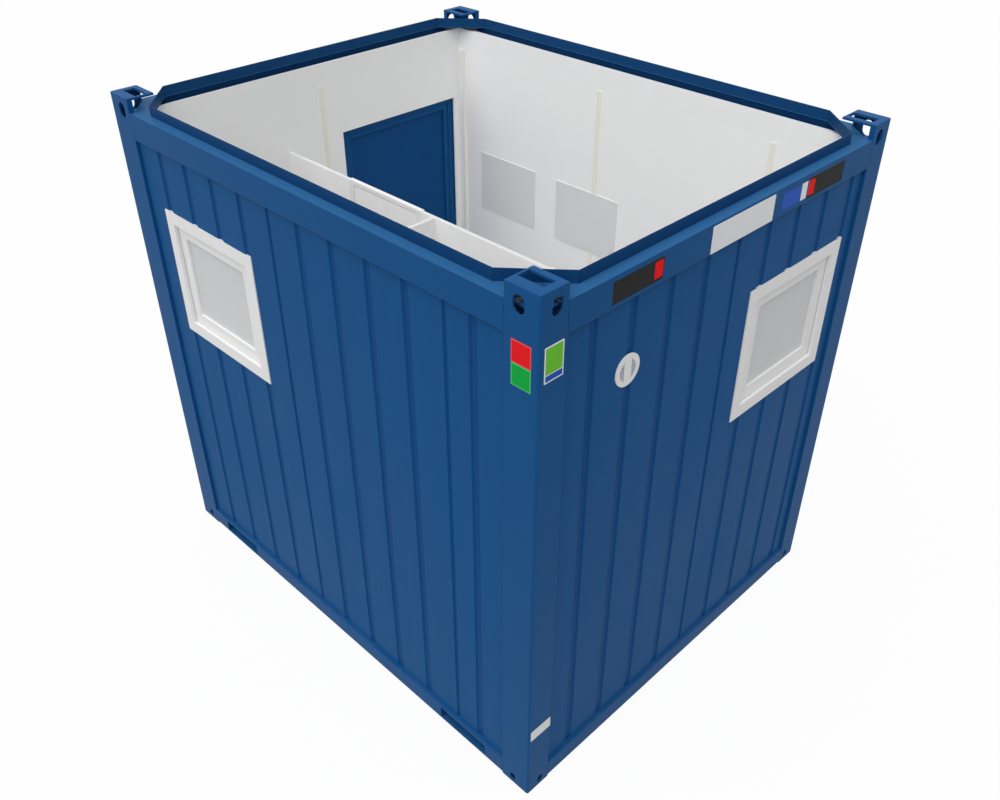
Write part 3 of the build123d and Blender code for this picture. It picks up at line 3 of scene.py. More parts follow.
import bpy
import numpy as np
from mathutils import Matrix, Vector


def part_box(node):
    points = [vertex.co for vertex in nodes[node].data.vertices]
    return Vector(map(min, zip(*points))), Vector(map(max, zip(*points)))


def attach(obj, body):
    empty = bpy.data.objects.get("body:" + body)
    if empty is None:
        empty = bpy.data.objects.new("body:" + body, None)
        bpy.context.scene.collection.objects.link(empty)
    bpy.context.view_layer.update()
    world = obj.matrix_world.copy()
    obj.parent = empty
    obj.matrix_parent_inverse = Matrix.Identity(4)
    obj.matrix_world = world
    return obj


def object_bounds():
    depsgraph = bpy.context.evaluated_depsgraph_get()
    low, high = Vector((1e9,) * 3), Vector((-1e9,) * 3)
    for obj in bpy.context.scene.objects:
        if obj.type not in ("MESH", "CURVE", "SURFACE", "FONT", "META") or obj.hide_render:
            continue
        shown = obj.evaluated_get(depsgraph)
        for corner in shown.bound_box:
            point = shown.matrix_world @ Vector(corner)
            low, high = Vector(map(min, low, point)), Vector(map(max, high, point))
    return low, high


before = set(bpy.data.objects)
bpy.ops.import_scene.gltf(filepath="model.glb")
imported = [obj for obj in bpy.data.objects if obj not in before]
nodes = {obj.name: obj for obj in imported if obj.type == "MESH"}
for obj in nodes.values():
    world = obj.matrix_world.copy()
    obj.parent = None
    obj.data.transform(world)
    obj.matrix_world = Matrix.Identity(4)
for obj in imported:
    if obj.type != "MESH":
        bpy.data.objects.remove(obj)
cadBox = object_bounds()
mm = 0.001
print("frame loaded:", len(nodes), "nodes")

# outer faces of the container, in metres
halfLength = cadBox[1].x
halfWidth = cadBox[1].y


# camera, light and floor

cameraSpot = {"place": (3.4334, -3.3479, 4.4298), "look": (-1, 1, -1), "lens": 35.604, "sensor": 36.0}
pureWhite = (1, 1, 1, 1)
studioLight = {
    "skyStrength": 0.51, "sunStrength": 1.96, "sunFrom": (0.11, -0.54, 1.0), "sunSpread": 70.0,
}
floorPlane = {"half": 40.0, "colour": 0.37, "whiteShare": 0.85, "whiteLevel": 1.1}


def placeCamera(spot):
    # a plain camera, turned so that its -Z looks along the given direction
    data = bpy.data.cameras.new("photoCamera")
    data.lens = spot["lens"]
    data.sensor_width = spot["sensor"]
    camera = bpy.data.objects.new("photoCamera", data)
    camera.location = spot["place"]
    camera.rotation_euler = Vector(spot["look"]).to_track_quat("-Z", "Y").to_euler()
    bpy.context.scene.collection.objects.link(camera)
    bpy.context.scene.camera = camera


def put(tree, kind, inputs=None, **props):
    # one shader node: an input is a number, a colour or the socket that feeds it
    node = tree.nodes.new("ShaderNode" + kind)
    for key, value in props.items():
        setattr(node, key, value)
    for key, value in (inputs or {}).items():
        if isinstance(value, bpy.types.NodeSocket):
            tree.links.new(value, node.inputs[key])
        else:
            node.inputs[key].default_value = value
    return node


def calc(tree, operation, *values):
    # one Math node on numbers or sockets, in their order
    return put(tree, "Math", dict(enumerate(values)), operation=operation).outputs[0]


def seenDirectly(tree):
    # 1 for camera, mirror and glass rays, 0 for the light that falls on things
    path = put(tree, "LightPath").outputs
    first = calc(tree, "MAXIMUM", path["Is Camera Ray"], path["Is Glossy Ray"])
    return calc(tree, "MAXIMUM", first, path["Is Transmission Ray"])


def lightStudio(light):
    # a white sky that lights things less than it shows, and one very soft sun
    world = bpy.data.worlds.new("studioSky")
    bpy.context.scene.world = world
    world.use_nodes = True
    tree = world.node_tree
    tree.nodes.clear()
    shown = put(tree, "Background", {"Color": pureWhite, "Strength": 1.0})
    sky = put(tree, "Background", {"Color": pureWhite, "Strength": light["skyStrength"]})
    mixed = put(tree, "MixShader", {0: seenDirectly(tree), 1: sky.outputs[0], 2: shown.outputs[0]})
    put(tree, "OutputWorld", {"Surface": mixed.outputs[0]})
    sun = bpy.data.lights.new("softSun", "SUN")
    sun.energy = light["sunStrength"]
    sun.angle = math.radians(light["sunSpread"])
    lamp = bpy.data.objects.new("softSun", sun)
    lamp.rotation_euler = Vector(light["sunFrom"]).to_track_quat("Z", "Y").to_euler()
    bpy.context.scene.collection.objects.link(lamp)


def layFloor(plane):
    # a matt floor that keeps the shadows, mixed with plain white where it is seen directly
    half = plane["half"]
    corners = [(-half, -half, 0), (half, -half, 0), (half, half, 0), (-half, half, 0)]
    mesh = bpy.data.meshes.new("studioFloor")
    mesh.from_pydata(corners, [], [(0, 1, 2, 3)])
    floor = bpy.data.objects.new("studioFloor", mesh)
    bpy.context.scene.collection.objects.link(floor)
    material = bpy.data.materials.new("studioFloor")
    material.use_nodes = True
    tree = material.node_tree
    tree.nodes.clear()
    colour = plane["colour"]
    matt = put(tree, "BsdfDiffuse", {"Color": (colour, colour, colour, 1)})
    white = put(tree, "Emission", {"Color": pureWhite, "Strength": plane["whiteLevel"]})
    share = calc(tree, "MULTIPLY", seenDirectly(tree), plane["whiteShare"])
    mixed = put(tree, "MixShader", {0: share, 1: matt.outputs[0], 2: white.outputs[0]})
    put(tree, "OutputMaterial", {"Surface": mixed.outputs[0]})
    mesh.materials.append(material)


bpy.context.scene.view_settings.view_transform = "Standard"
placeCamera(cameraSpot)
lightStudio(studioLight)
layFloor(floorPlane)
print("camera, light and floor set")


# shader groups that several finishes share

# the curve between screen colours and light, and the noise in the groups
screenCurve = {"levels": 255, "straight": 0.04045, "slope": 12.92, "offset": 0.055, "power": 2.4}
noiseKinds = {
    "cloud": {"Detail": 4.0, "Roughness": 0.6}, "skin": {"Detail": 2.0}, "drawn": {"Detail": 3.0},
    "edgePatch": {"Detail": 5.0, "Roughness": 0.7}, "settled": {"Detail": 6.0, "Roughness": 0.65},
}
# where each ramp starts and ends, in levels of noise, parts of a normal or shares of a height
spreads = {
    "cloud": (0.3, 0.7), "drawn": (0.4, 0.7), "edgePatch": (0.4, 0.65), "settled": (0.35, 0.7),
    "turned": (0.99, 0.8), "lying": (0.6, 0.95), "frontFacing": (-0.5, -0.8), "splash": (1.0, 0.0),
}
bevelSamples = 4


def linear(colour):
    # screen colour 0 to 255 as the linear colour a shader wants: straight near black, a power curve above
    share = np.array(colour, float) / screenCurve["levels"]
    straight = share / screenCurve["slope"]
    bent = ((share + screenCurve["offset"]) / (1 + screenCurve["offset"])) ** screenCurve["power"]
    return (*np.where(share <= screenCurve["straight"], straight, bent), 1.0)


def newGroup(name, takes, gives):
    # takes: each input with its first value; gives: the names of the outputs
    group = bpy.data.node_groups.new(name, "ShaderNodeTree")
    for label, value in takes.items():
        socket = group.interface.new_socket(name=label, in_out="INPUT", socket_type="NodeSocketFloat")
        socket.default_value = value
    for label in gives:
        group.interface.new_socket(name=label, in_out="OUTPUT", socket_type="NodeSocketFloat")
    enter = group.nodes.new("NodeGroupInput").outputs
    leave = group.nodes.new("NodeGroupOutput").inputs
    return group, enter, leave


def ramp(tree, value, low, high, start=0.0, end=1.0):
    # straight ramp from start to end while value goes from low to high, held at both ends
    limits = {"From Min": low, "From Max": high, "To Min": start, "To Max": end}
    return put(tree, "MapRange", {"Value": value, **limits}).outputs[0]


def times(tree, first, second):
    return calc(tree, "MULTIPLY", first, second)


def objectSpot(tree):
    return put(tree, "TexCoord").outputs["Object"]


def objectPlace(tree):
    # the same spot as X, Y and Z
    return put(tree, "SeparateXYZ", {0: objectSpot(tree)}).outputs


def facing(tree, axis):
    # how far a face looks along an axis, from -1 to 1
    return put(tree, "SeparateXYZ", {0: put(tree, "NewGeometry").outputs["Normal"]}).outputs[axis]


def noise(tree, spot, scale, kind):
    return put(tree, "TexNoise", {"Vector": spot, "Scale": scale, **noiseKinds[kind]}).outputs[0]


def depthsBehind(tree, place):
    # how far a spot lies behind the nearer end face and behind the nearer side face
    sides = (("X", halfLength), ("Y", halfWidth))
    return [calc(tree, "SUBTRACT", half, calc(tree, "ABSOLUTE", place[axis])) for axis, half in sides]


def makeGrain():
    # broad clouds of tone and a fine skin, both plain noise on object coordinates
    group, enter, leave = newGroup("grain", {"Cloud scale": 1.5, "Grain scale": 400.0}, ["Cloud", "Grain"])
    spot = objectSpot(group)
    cloud = noise(group, spot, enter["Cloud scale"], "cloud")
    group.links.new(ramp(group, cloud, *spreads["cloud"]), leave["Cloud"])
    group.links.new(noise(group, spot, enter["Grain scale"], "skin"), leave["Grain"])
    return group


def makeEdgeWearAndHighlight():
    # where a rounded normal leaves the flat one there is an edge; noise breaks up the line of rubbed wear and
    # painted highlight
    group, enter, leave = newGroup("edgeWearAndHighlight", {"Width": 0.003, "Patch scale": 9.0}, ["Edge"])
    rounded = put(group, "Bevel", {"Radius": enter["Width"]}, samples=bevelSamples).outputs[0]
    flat = put(group, "NewGeometry").outputs["Normal"]
    turn = put(group, "VectorMath", {0: rounded, 1: flat}, operation="DOT_PRODUCT").outputs["Value"]
    patch = noise(group, objectSpot(group), enter["Patch scale"], "edgePatch")
    edge = times(group, ramp(group, turn, *spreads["turned"]), ramp(group, patch, *spreads["edgePatch"]))
    group.links.new(edge, leave["Edge"])
    return group


def makeDust():
    # dust lies on faces that look up, and splashes reach a little way above the ground
    group, enter, leave = newGroup("dust", {"Splash height": 0.35, "Patch scale": 6.0}, ["Settled", "Splash"])
    patch = noise(group, objectSpot(group), enter["Patch scale"], "settled")
    uneven = ramp(group, patch, *spreads["settled"])
    lying = ramp(group, facing(group, "Z"), *spreads["lying"])
    group.links.new(times(group, lying, uneven), leave["Settled"])
    rise = calc(group, "DIVIDE", objectPlace(group)["Z"], enter["Splash height"])
    group.links.new(times(group, ramp(group, rise, *spreads["splash"]), uneven), leave["Splash"])
    return group


def makeDrawnLines():
    # noise stretched along one axis: fine lines of rolled or brushed metal, and rain streaks
    group, enter, leave = newGroup("drawnLines", {"Across": 300.0, "Along": 4.0}, ["Upright", "Level"])
    spot = objectSpot(group)
    for label, axes in (("Upright", ("Across", "Across", "Along")), ("Level", ("Along", "Along", "Across"))):
        scale = put(group, "CombineXYZ", {i: enter[axis] for i, axis in enumerate(axes)}).outputs[0]
        stretched = put(group, "VectorMath", {0: spot, 1: scale}, operation="MULTIPLY").outputs[0]
        group.links.new(noise(group, stretched, 1.0, "drawn"), leave[label])
    return group


def makeFlecks():
    # each cell of the pattern has its own random tone, so small chips of colour show
    group, enter, leave = newGroup("flecks", {"Scale": 120.0, "Share": 0.3}, ["Light", "Dark"])
    cells = put(group, "TexVoronoi", {"Vector": objectSpot(group), "Scale": enter["Scale"]})
    tone = put(group, "SeparateColor", {0: cells.outputs["Color"]}).outputs
    for label, channel in (("Light", 0), ("Dark", 1)):
        group.links.new(calc(group, "LESS_THAN", tone[channel], enter["Share"]), leave[label])
    return group


def makeInnerBand():
    # 1 between two heights on what lies deeper than a given distance behind the outer faces
    group, enter, leave = newGroup("innerBand", {"Deeper": 0.045, "Low": 0.0, "High": 1.0}, ["Mask"])
    place = objectPlace(group)
    least = calc(group, "MINIMUM", *depthsBehind(group, place))
    inside = calc(group, "GREATER_THAN", least, enter["Deeper"])
    above = calc(group, "GREATER_THAN", place["Z"], enter["Low"])
    below = calc(group, "LESS_THAN", place["Z"], enter["High"])
    group.links.new(times(group, inside, times(group, above, below)), leave["Mask"])
    return group


def makeCornerZone():
    # 1 above a height, under the corner castings, on what is nearer to an outer face than a given distance
    group, enter, leave = newGroup("cornerZone", {"Nearer": 0.09, "Reach": 0.15, "Low": 2.6}, ["Mask"])
    place = objectPlace(group)
    depths = depthsBehind(group, place)
    hidden = calc(group, "LESS_THAN", calc(group, "MINIMUM", *depths), enter["Nearer"])
    under = calc(group, "LESS_THAN", calc(group, "MAXIMUM", *depths), enter["Reach"])
    above = calc(group, "GREATER_THAN", place["Z"], enter["Low"])
    group.links.new(times(group, hidden, times(group, under, above)), leave["Mask"])
    return group


def makeSlotShade():
    # 1 inside a radius about an axis along X, on what lies behind the face of the piece
    takes = {"Face": 0.0, "Across": 0.0, "Up": 0.0, "Radius": 0.05}
    group, enter, leave = newGroup("slotShade", takes, ["Mask"])
    place = objectPlace(group)
    behind = calc(group, "LESS_THAN", place["X"], enter["Face"])
    middles = (("Y", "Across"), ("Z", "Up"))
    offsets = [calc(group, "SUBTRACT", place[axis], enter[middle]) for axis, middle in middles]
    square = calc(group, "ADD", *[times(group, offset, offset) for offset in offsets])
    near = calc(group, "LESS_THAN", square, times(group, enter["Radius"], enter["Radius"]))
    group.links.new(times(group, behind, near), leave["Mask"])
    return group


def makeProfileFace():
    # 1 on the faces that look along -Y of what lies further from the middle than a given distance
    group, enter, leave = newGroup("profileFace", {"Beyond": 1.0}, ["Mask"])
    away = calc(group, "ABSOLUTE", objectPlace(group)["X"])
    beyond = calc(group, "GREATER_THAN", away, enter["Beyond"])
    front = ramp(group, facing(group, "Y"), *spreads["frontFacing"])
    group.links.new(times(group, beyond, front), leave["Mask"])
    return group


def makeUpFace():
    # 1 on faces that look up
    group, enter, leave = newGroup("upFace", {"Steep": 0.6, "Level": 0.9}, ["Mask"])
    group.links.new(ramp(group, facing(group, "Z"), enter["Steep"], enter["Level"]), leave["Mask"])
    return group


groups = {
    "grain": makeGrain(), "edgeWearAndHighlight": makeEdgeWearAndHighlight(), "dust": makeDust(), "drawnLines": makeDrawnLines(),
    "flecks": makeFlecks(), "innerBand": makeInnerBand(), "cornerZone": makeCornerZone(),
    "slotShade": makeSlotShade(), "profileFace": makeProfileFace(), "upFace": makeUpFace(),
}
print("shader groups made:", ", ".join(groups))


# finishes

# what a finish has where its own dictionary says nothing
plainLook = {
    "cloudScale": 1.5, "wearAndHighlightWidth": 0.003, "relief": 0.2, "metal": 0.0, "lineRelief": False, "masks": (),
}
# sockets of the Principled shader that take one value all over
plainSockets = {
    "coat": "Coat Weight", "coatRough": "Coat Roughness", "gloss": "Specular IOR Level",
    "clear": "Transmission Weight",
}
mixSockets = {"share": 0, "first": 6, "second": 7, "result": 2}   # of a Mix node that mixes colours


def groupNode(tree, name, values=None):
    return put(tree, "Group", values, node_tree=groups[name]).outputs


def toned(tree, share, first, second):
    # first colour where share is 0, second where it is 1
    values = {mixSockets["share"]: share, mixSockets["first"]: first, mixSockets["second"]: second}
    return put(tree, "Mix", values, data_type="RGBA").outputs[mixSockets["result"]]


def makeFinish(name, look):
    # one Principled finish: clouds of two tones, then flecks, lines, edges painted lighter (rubbed wear, on
    # the frame also a painted highlight), dust and masks as asked
    look = {**plainLook, **look}
    material = bpy.data.materials.new(name)
    material.use_nodes = True
    tree = material.node_tree
    tree.nodes.clear()
    grain = groupNode(tree, "grain", {"Cloud scale": look["cloudScale"], "Grain scale": look["grainScale"]})
    colour = toned(tree, grain["Cloud"], linear(look["base"]), linear(look["cloud"]))
    height = grain["Grain"]
    if "flecks" in look:
        flecks = groupNode(tree, "flecks", {"Scale": look["fleckScale"], "Share": look["fleckShare"]})
        for label, chip in zip(("Light", "Dark"), look["flecks"]):
            colour = toned(tree, flecks[label], colour, linear(chip))
    if "lines" in look:
        drawn = groupNode(tree, "drawnLines", {"Across": look["lineAcross"], "Along": look["lineAlong"]})
        lines = drawn[look["lines"]]
        share = times(tree, ramp(tree, lines, *spreads["drawn"]), look["lineShare"])
        colour = toned(tree, share, colour, linear(look["lineTone"]))
        height = lines if look["lineRelief"] else height
    if "wearAndHighlight" in look:
        # lighter edges: rubbed wear, and on the frame a painted highlight
        edge = groupNode(tree, "edgeWearAndHighlight", {"Width": look["wearAndHighlightWidth"]})["Edge"]
        colour = toned(tree, times(tree, edge, look["wearAndHighlight"]), colour, linear(look["wearAndHighlightTone"]))
    if "dust" in look:
        dust = groupNode(tree, "dust")
        for label in ("Settled", "Splash"):
            colour = toned(tree, times(tree, dust[label], look["dust"]), colour, linear(look["dustTone"]))
    for groupName, values, tone, share in look["masks"]:
        mask = groupNode(tree, groupName, values)["Mask"]
        colour = toned(tree, times(tree, mask, share), colour, linear(tone))
    rough = ramp(tree, grain["Cloud"], 0.0, 1.0, *look["rough"])
    surface = {"Base Color": colour, "Roughness": rough, "Metallic": look["metal"]}
    shader = put(tree, "BsdfPrincipled", surface)
    for key, label in plainSockets.items():
        if key in look:
            shader.inputs[label].default_value = look[key]
    bump = put(tree, "Bump", {"Height": height, "Strength": look["relief"], "Distance": look["grainDeep"]})
    if "round" in look:
        rounded = put(tree, "Bevel", {"Radius": look["round"]}, samples=bevelSamples)
        tree.links.new(rounded.outputs[0], bump.inputs["Normal"])
    tree.links.new(bump.outputs[0], shader.inputs["Normal"])
    put(tree, "OutputMaterial", {"Surface": shader.outputs[0]})
    return material


# where the masks lie, in metres: depths behind the outer faces and heights above the ground
# at these heights the rails get painted shade on the inner web and the lip, and a painted highlight on the
# shelf
webHeights = {"Deeper": 0.045, "Low": 2.60, "High": 2.7405}
shelfHeights = {"Deeper": 0.004, "Low": 2.7395, "High": 2.7425}
lipHeights = {"Deeper": 0.0505, "Low": 2.7428, "High": 2.7955}
# painted shade in the wall grooves, on what lies deeper than this behind the outer faces
grooveDepth = {"Deeper": 0.0195, "Low": 0.0, "High": 3.0}
wallTop = {"Deeper": -1.0, "Low": 2.60, "High": 3.0}
boardFace = {"Deeper": 0.0885, "Low": 2.60, "High": 3.0}
underCasting = {"Nearer": 0.0960, "Reach": 0.150, "Low": 2.60}
ductWhole = {"Deeper": -1.0, "Low": 0.0, "High": 3.0}
ductRoom = {"Deeper": 0.0965, "Low": 0.0, "High": 3.0}
profileEdge = {"Beyond": 1.34}
# painted shade: the blue on sides that only the holes of the corner castings and the slots of the vent show
holeShadeTone = (44, 118, 194)
ventLow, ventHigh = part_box("vent_grille")
ventMiddle = (ventLow + ventHigh) / 2
slotStart = 0.0006   # the shade in the slots starts this far behind the vent's face
ventSlots = {"Face": ventHigh.x - slotStart, "Across": ventMiddle.y, "Up": ventMiddle.z, "Radius": 0.056}
finishes = {
    # satin machine paint, edges painted lighter as rubbed wear and a painted highlight; on the rails a
    # painted highlight makes the shelf paler, and painted shade makes the lip and inner web darker
    "framePaint": {
        "base": (22, 82, 138), "cloud": (25, 86, 142), "rough": (0.42, 0.5), "grainScale": 700.0,
        "grainDeep": 0.0002, "gloss": 0.05, "wearAndHighlight": 0.4, "wearAndHighlightTone": (104, 124, 150), "round": 0.004,
        "dust": 0.03, "dustTone": (150, 150, 140),
        "masks": [
            ("innerBand", webHeights, (12, 48, 88), 0.8), ("innerBand", shelfHeights, (52, 106, 156), 0.8),
            ("innerBand", lipHeights, (20, 64, 110), 0.8),
        ],
    },
    # the same paint on the thin wall sheets, with faint rain streaks and painted shade in the floors of the
    # grooves
    "sheetPaint": {
        "base": (22, 82, 138), "cloud": (25, 86, 142), "rough": (0.45, 0.55), "grainScale": 500.0,
        "grainDeep": 0.0002, "gloss": 0.05, "lines": "Upright", "lineAcross": 26.0, "lineAlong": 0.6,
        "lineTone": (28, 92, 152), "lineShare": 0.3, "dust": 0.04, "dustTone": (150, 150, 140),
        "round": 0.0015,
        "masks": [("innerBand", grooveDepth, (14, 68, 126), 0.6)],
    },
    "galvanisedSteel": {
        "base": (150, 154, 156), "cloud": (176, 180, 182), "cloudScale": 22.0, "rough": (0.35, 0.55),
        "metal": 0.9, "grainScale": 160.0, "grainDeep": 0.0002, "flecks": ((188, 192, 194), (140, 144, 147)),
        "fleckScale": 60.0, "fleckShare": 0.22,
    },
    "floorVinyl": {
        "base": (182, 185, 188), "cloud": (187, 190, 193), "rough": (0.45, 0.6), "grainScale": 900.0,
        "grainDeep": 0.0002, "flecks": ((206, 208, 210), (150, 154, 158)), "fleckScale": 190.0,
        "fleckShare": 0.12, "gloss": 0.2, "dust": 0.08, "dustTone": (170, 165, 155),
    },
    # near its top the wool is painted blue, painted shade seen through the holes of the corner castings
    "mineralWool": {
        "base": (196, 172, 110), "cloud": (214, 192, 132), "cloudScale": 30.0, "rough": (0.9, 1.0),
        "grainScale": 420.0, "grainDeep": 0.004, "relief": 0.8, "lines": "Level", "lineAcross": 260.0,
        "lineAlong": 20.0, "lineTone": (170, 142, 82), "lineShare": 0.6, "lineRelief": True,
        "masks": [("innerBand", wallTop, holeShadeTone, 1.0)],
    },
    # white coated chipboard with a fine pearl skin; sides that only the holes of the castings show are
    # painted blue as painted shade, and faces that look up are painted a little grey as painted shade
    "liningBoard": {
        "base": (252, 252, 252), "cloud": (254, 254, 253), "rough": (0.5, 0.6), "grainScale": 1400.0,
        "grainDeep": 0.0002, "cloudScale": 0.8, "gloss": 0.1,
        "masks": [
            ("innerBand", wallTop, holeShadeTone, 1.0), ("innerBand", boardFace, (252, 252, 252), 1.0),
            # faces that look up are painted a little grey, painted shade on the tops
            ("upFace", {}, (229, 230, 231), 1.0), ("cornerZone", underCasting, holeShadeTone, 1.0),
        ],
    },
    "stripBeige": {
        "base": (248, 243, 233), "cloud": (250, 246, 236), "rough": (0.5, 0.6), "grainScale": 900.0,
        "grainDeep": 0.0002, "gloss": 0.1,
        "masks": [("profileFace", profileEdge, (244, 244, 244), 1.0)],
    },
    "windowPlastic": {
        "base": (243, 243, 243), "cloud": (246, 246, 245), "rough": (0.3, 0.38), "grainScale": 300.0,
        "grainDeep": 0.0001, "round": 0.002, "cloudScale": 2.0, "gloss": 0.1,
    },
    # a like plastic on the vent, in shade inside its slots
    "ventPlastic": {
        "base": (246, 245, 244), "cloud": (248, 247, 246), "rough": (0.4, 0.5), "grainScale": 300.0,
        "grainDeep": 0.0001, "cloudScale": 9.0, "gloss": 0.05,
        "masks": [("slotShade", ventSlots, (40, 108, 186), 0.95)],
    },
    "frostedGlass": {
        "base": (227, 228, 229), "cloud": (231, 232, 233), "rough": (0.4, 0.5), "grainScale": 350.0,
        "grainDeep": 0.0006, "relief": 0.3, "clear": 0.1, "cloudScale": 3.0, "gloss": 0.15,
    },
    "handleGrey": {
        "base": (190, 192, 195), "cloud": (198, 200, 203), "rough": (0.3, 0.4), "metal": 0.6,
        "grainScale": 600.0, "grainDeep": 0.0001, "round": 0.001,
    },
    "brushedSteel": {
        "base": (176, 178, 180), "cloud": (190, 192, 194), "cloudScale": 8.0, "rough": (0.25, 0.4),
        "metal": 1.0, "grainScale": 600.0, "grainDeep": 0.0001, "lines": "Level", "lineAcross": 900.0,
        "lineAlong": 14.0, "lineTone": (205, 207, 209), "lineShare": 0.5, "lineRelief": True, "round": 0.001,
    },
    "sealRubber": {
        "base": (28, 28, 29), "cloud": (38, 38, 39), "cloudScale": 20.0, "rough": (0.6, 0.75),
        "grainScale": 900.0, "grainDeep": 0.0003,
    },
    # grey on the room side; where the duct runs through the wall it is painted blue, painted shade seen
    # through the vent's slots
    "fanPlastic": {
        "base": (120, 124, 128), "cloud": (128, 132, 136), "cloudScale": 12.0, "rough": (0.4, 0.5),
        "grainScale": 500.0, "grainDeep": 0.0002, "round": 0.001,
        "masks": [("innerBand", ductWhole, holeShadeTone, 1.0), ("innerBand", ductRoom, (124, 128, 132), 1.0)],
    },
    "glazedCeramic": {
        "base": (240, 240, 238), "cloud": (243, 243, 242), "rough": (0.12, 0.18), "coat": 0.5,
        "coatRough": 0.05, "grainScale": 60.0, "grainDeep": 0.0003, "relief": 0.08, "round": 0.003,
    },
    "seatPlastic": {
        "base": (236, 236, 235), "cloud": (240, 240, 239), "rough": (0.2, 0.28), "grainScale": 400.0,
        "grainDeep": 0.0001, "round": 0.003,
    },
    "chromePlate": {
        "base": (212, 214, 216), "cloud": (220, 222, 224), "cloudScale": 14.0, "rough": (0.08, 0.16),
        "metal": 1.0, "grainScale": 500.0, "grainDeep": 0.0001, "relief": 0.05,
    },
    # the mirrors are a matt light grey, a painted reflection in place of a mirror's own
    "mirrorGlass": {
        "base": (233, 233, 233), "cloud": (236, 236, 236), "rough": (0.4, 0.46), "metal": 0.05,
        "grainScale": 40.0, "grainDeep": 0.0001, "relief": 0.03, "gloss": 0.1,
    },
    "boxPlastic": {
        "base": (44, 44, 45), "cloud": (48, 48, 49), "cloudScale": 12.0, "rough": (0.4, 0.55),
        "grainScale": 700.0, "grainDeep": 0.0003, "gloss": 0.03, "wearAndHighlight": 0.3, "wearAndHighlightTone": (80, 80, 82),
        "wearAndHighlightWidth": 0.0015,
    },
    "flapRed": {
        "base": (246, 24, 24), "cloud": (249, 28, 27), "cloudScale": 14.0, "rough": (0.35, 0.45),
        "grainScale": 600.0, "grainDeep": 0.0002, "round": 0.001, "gloss": 0.04,
    },
    "pipeGrey": {
        "base": (120, 122, 124), "cloud": (127, 129, 131), "cloudScale": 9.0, "rough": (0.35, 0.48),
        "grainScale": 500.0, "grainDeep": 0.0002, "lines": "Upright", "lineAcross": 120.0, "lineAlong": 3.0,
        "lineTone": (133, 135, 137), "lineShare": 0.3,
    },
    "inletBrass": {
        "base": (190, 154, 84), "cloud": (204, 170, 100), "cloudScale": 20.0, "rough": (0.22, 0.34),
        "metal": 1.0, "grainScale": 700.0, "grainDeep": 0.0001, "round": 0.001,
    },
}
made = {name: makeFinish(name, look) for name, look in finishes.items()}

finishOfNode = {
    "framePaint": [
        "corner_posts", "top_corner_castings", "bottom_corner_castings", "top_rails", "gutter_corners",
        "bottom_rails", "fork_pockets", "entrance_door_frame", "door_hinge_leaves",
    ],
    "sheetPaint": [
        "front_wall_sheet", "right_wall_sheet", "back_wall_sheet", "left_wall_sheet", "entrance_door_leaf",
    ],
    "galvanisedSteel": ["bottom_sheet", "floor_joists"],
    "floorVinyl": ["floor_board"],
    "mineralWool": ["insulation"],
    "liningBoard": ["wall_linings", "partitions", "cabin_door_1", "cabin_door_2"],
    "stripBeige": ["joint_strips"],
    "windowPlastic": [
        "front_window_casing", "front_window_sash", "end_window_casing", "end_window_sash", "window_reveals",
        "cabin_door_frames",
    ],
    "ventPlastic": ["vent_grille"],
    "frostedGlass": ["front_window_glass", "end_window_glass"],
    "handleGrey": ["front_window_handle", "end_window_handle", "cabin_latch_1", "cabin_latch_2"],
    "brushedSteel": ["door_hinge_pins", "door_handle", "door_lock"],
    "sealRubber": ["door_seal"],
    "fanPlastic": ["fan_housing", "fan_impeller"],
    "glazedCeramic": ["toilet_bowls", "toilet_cisterns", "washbasins"],
    "seatPlastic": ["toilet_seat_1", "toilet_seat_2"],
    "chromePlate": [
        "flush_button_1", "flush_button_2", "basin_taps", "tap_button_1", "tap_button_2", "basin_traps",
    ],
    "mirrorGlass": ["mirrors"],
    "boxPlastic": ["power_boxes"],
    "flapRed": ["power_flap_1", "power_flap_2"],
    "pipeGrey": ["waste_pipe"],
    "inletBrass": ["water_inlet"],
}
for finish, names in finishOfNode.items():
    for name in names:
        for slot in nodes[name].material_slots:
            slot.material = made[finish]
print("finishes made:", len(made))


# plates on the frame

def roundedOutline(wide, high, radius, steps=6):
    # four quarter circles, each about its corner centre; also the outward direction at every point
    turn = np.linspace(0, np.pi / 2, steps)
    angles = np.concatenate([turn + quarter * np.pi / 2 for quarter in range(4)])
    signs = np.repeat(np.array([(1, 1), (-1, 1), (-1, -1), (1, -1)], float), steps, axis=0)
    outward = np.stack([np.cos(angles), np.sin(angles)], axis=1)
    corner = signs * (np.array([wide, high]) / 2 - radius)
    return corner + outward * radius, outward


def onWall(wall, across, up, out):
    # across along the wall, up, and out from the container's face
    if wall == "front":
        return np.stack([across, -halfWidth - out, up], axis=-1)
    if wall == "left":
        return np.stack([-halfLength - out, -across, up], axis=-1)
    return np.stack([halfLength + out, across, up], axis=-1)


def meshPiece(name, points, faces, finish, body):
    # rings of points, one after the other, and their faces as one mesh that moves with a body
    mesh = bpy.data.meshes.new(name)
    mesh.from_pydata(points.reshape(-1, 3).tolist(), [], faces)
    mesh.materials.append(finish)
    piece = bpy.data.objects.new(name, mesh)
    bpy.context.scene.collection.objects.link(piece)
    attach(piece, body)


def ringFaces(rings, around, start=0):
    # quads between neighbouring rings of a closed outline, with a flat cap at each end
    row, column = np.meshgrid(np.arange(rings - 1), np.arange(around), indexing="ij")
    after = (column + 1) % around
    quads = np.stack([row * around + column, row * around + after, (row + 1) * around + after,
                      (row + 1) * around + column], axis=-1).reshape(-1, 4) + start
    last = start + (rings - 1) * around
    caps = [list(range(start, start + around))[::-1], list(range(last, last + around))]
    return quads.tolist() + caps


plateProfile = ((0.0, 0.0), (0.0, 0.75), (0.12, 0.93), (0.45, 1.0))   # inset and rise, in plate thicknesses


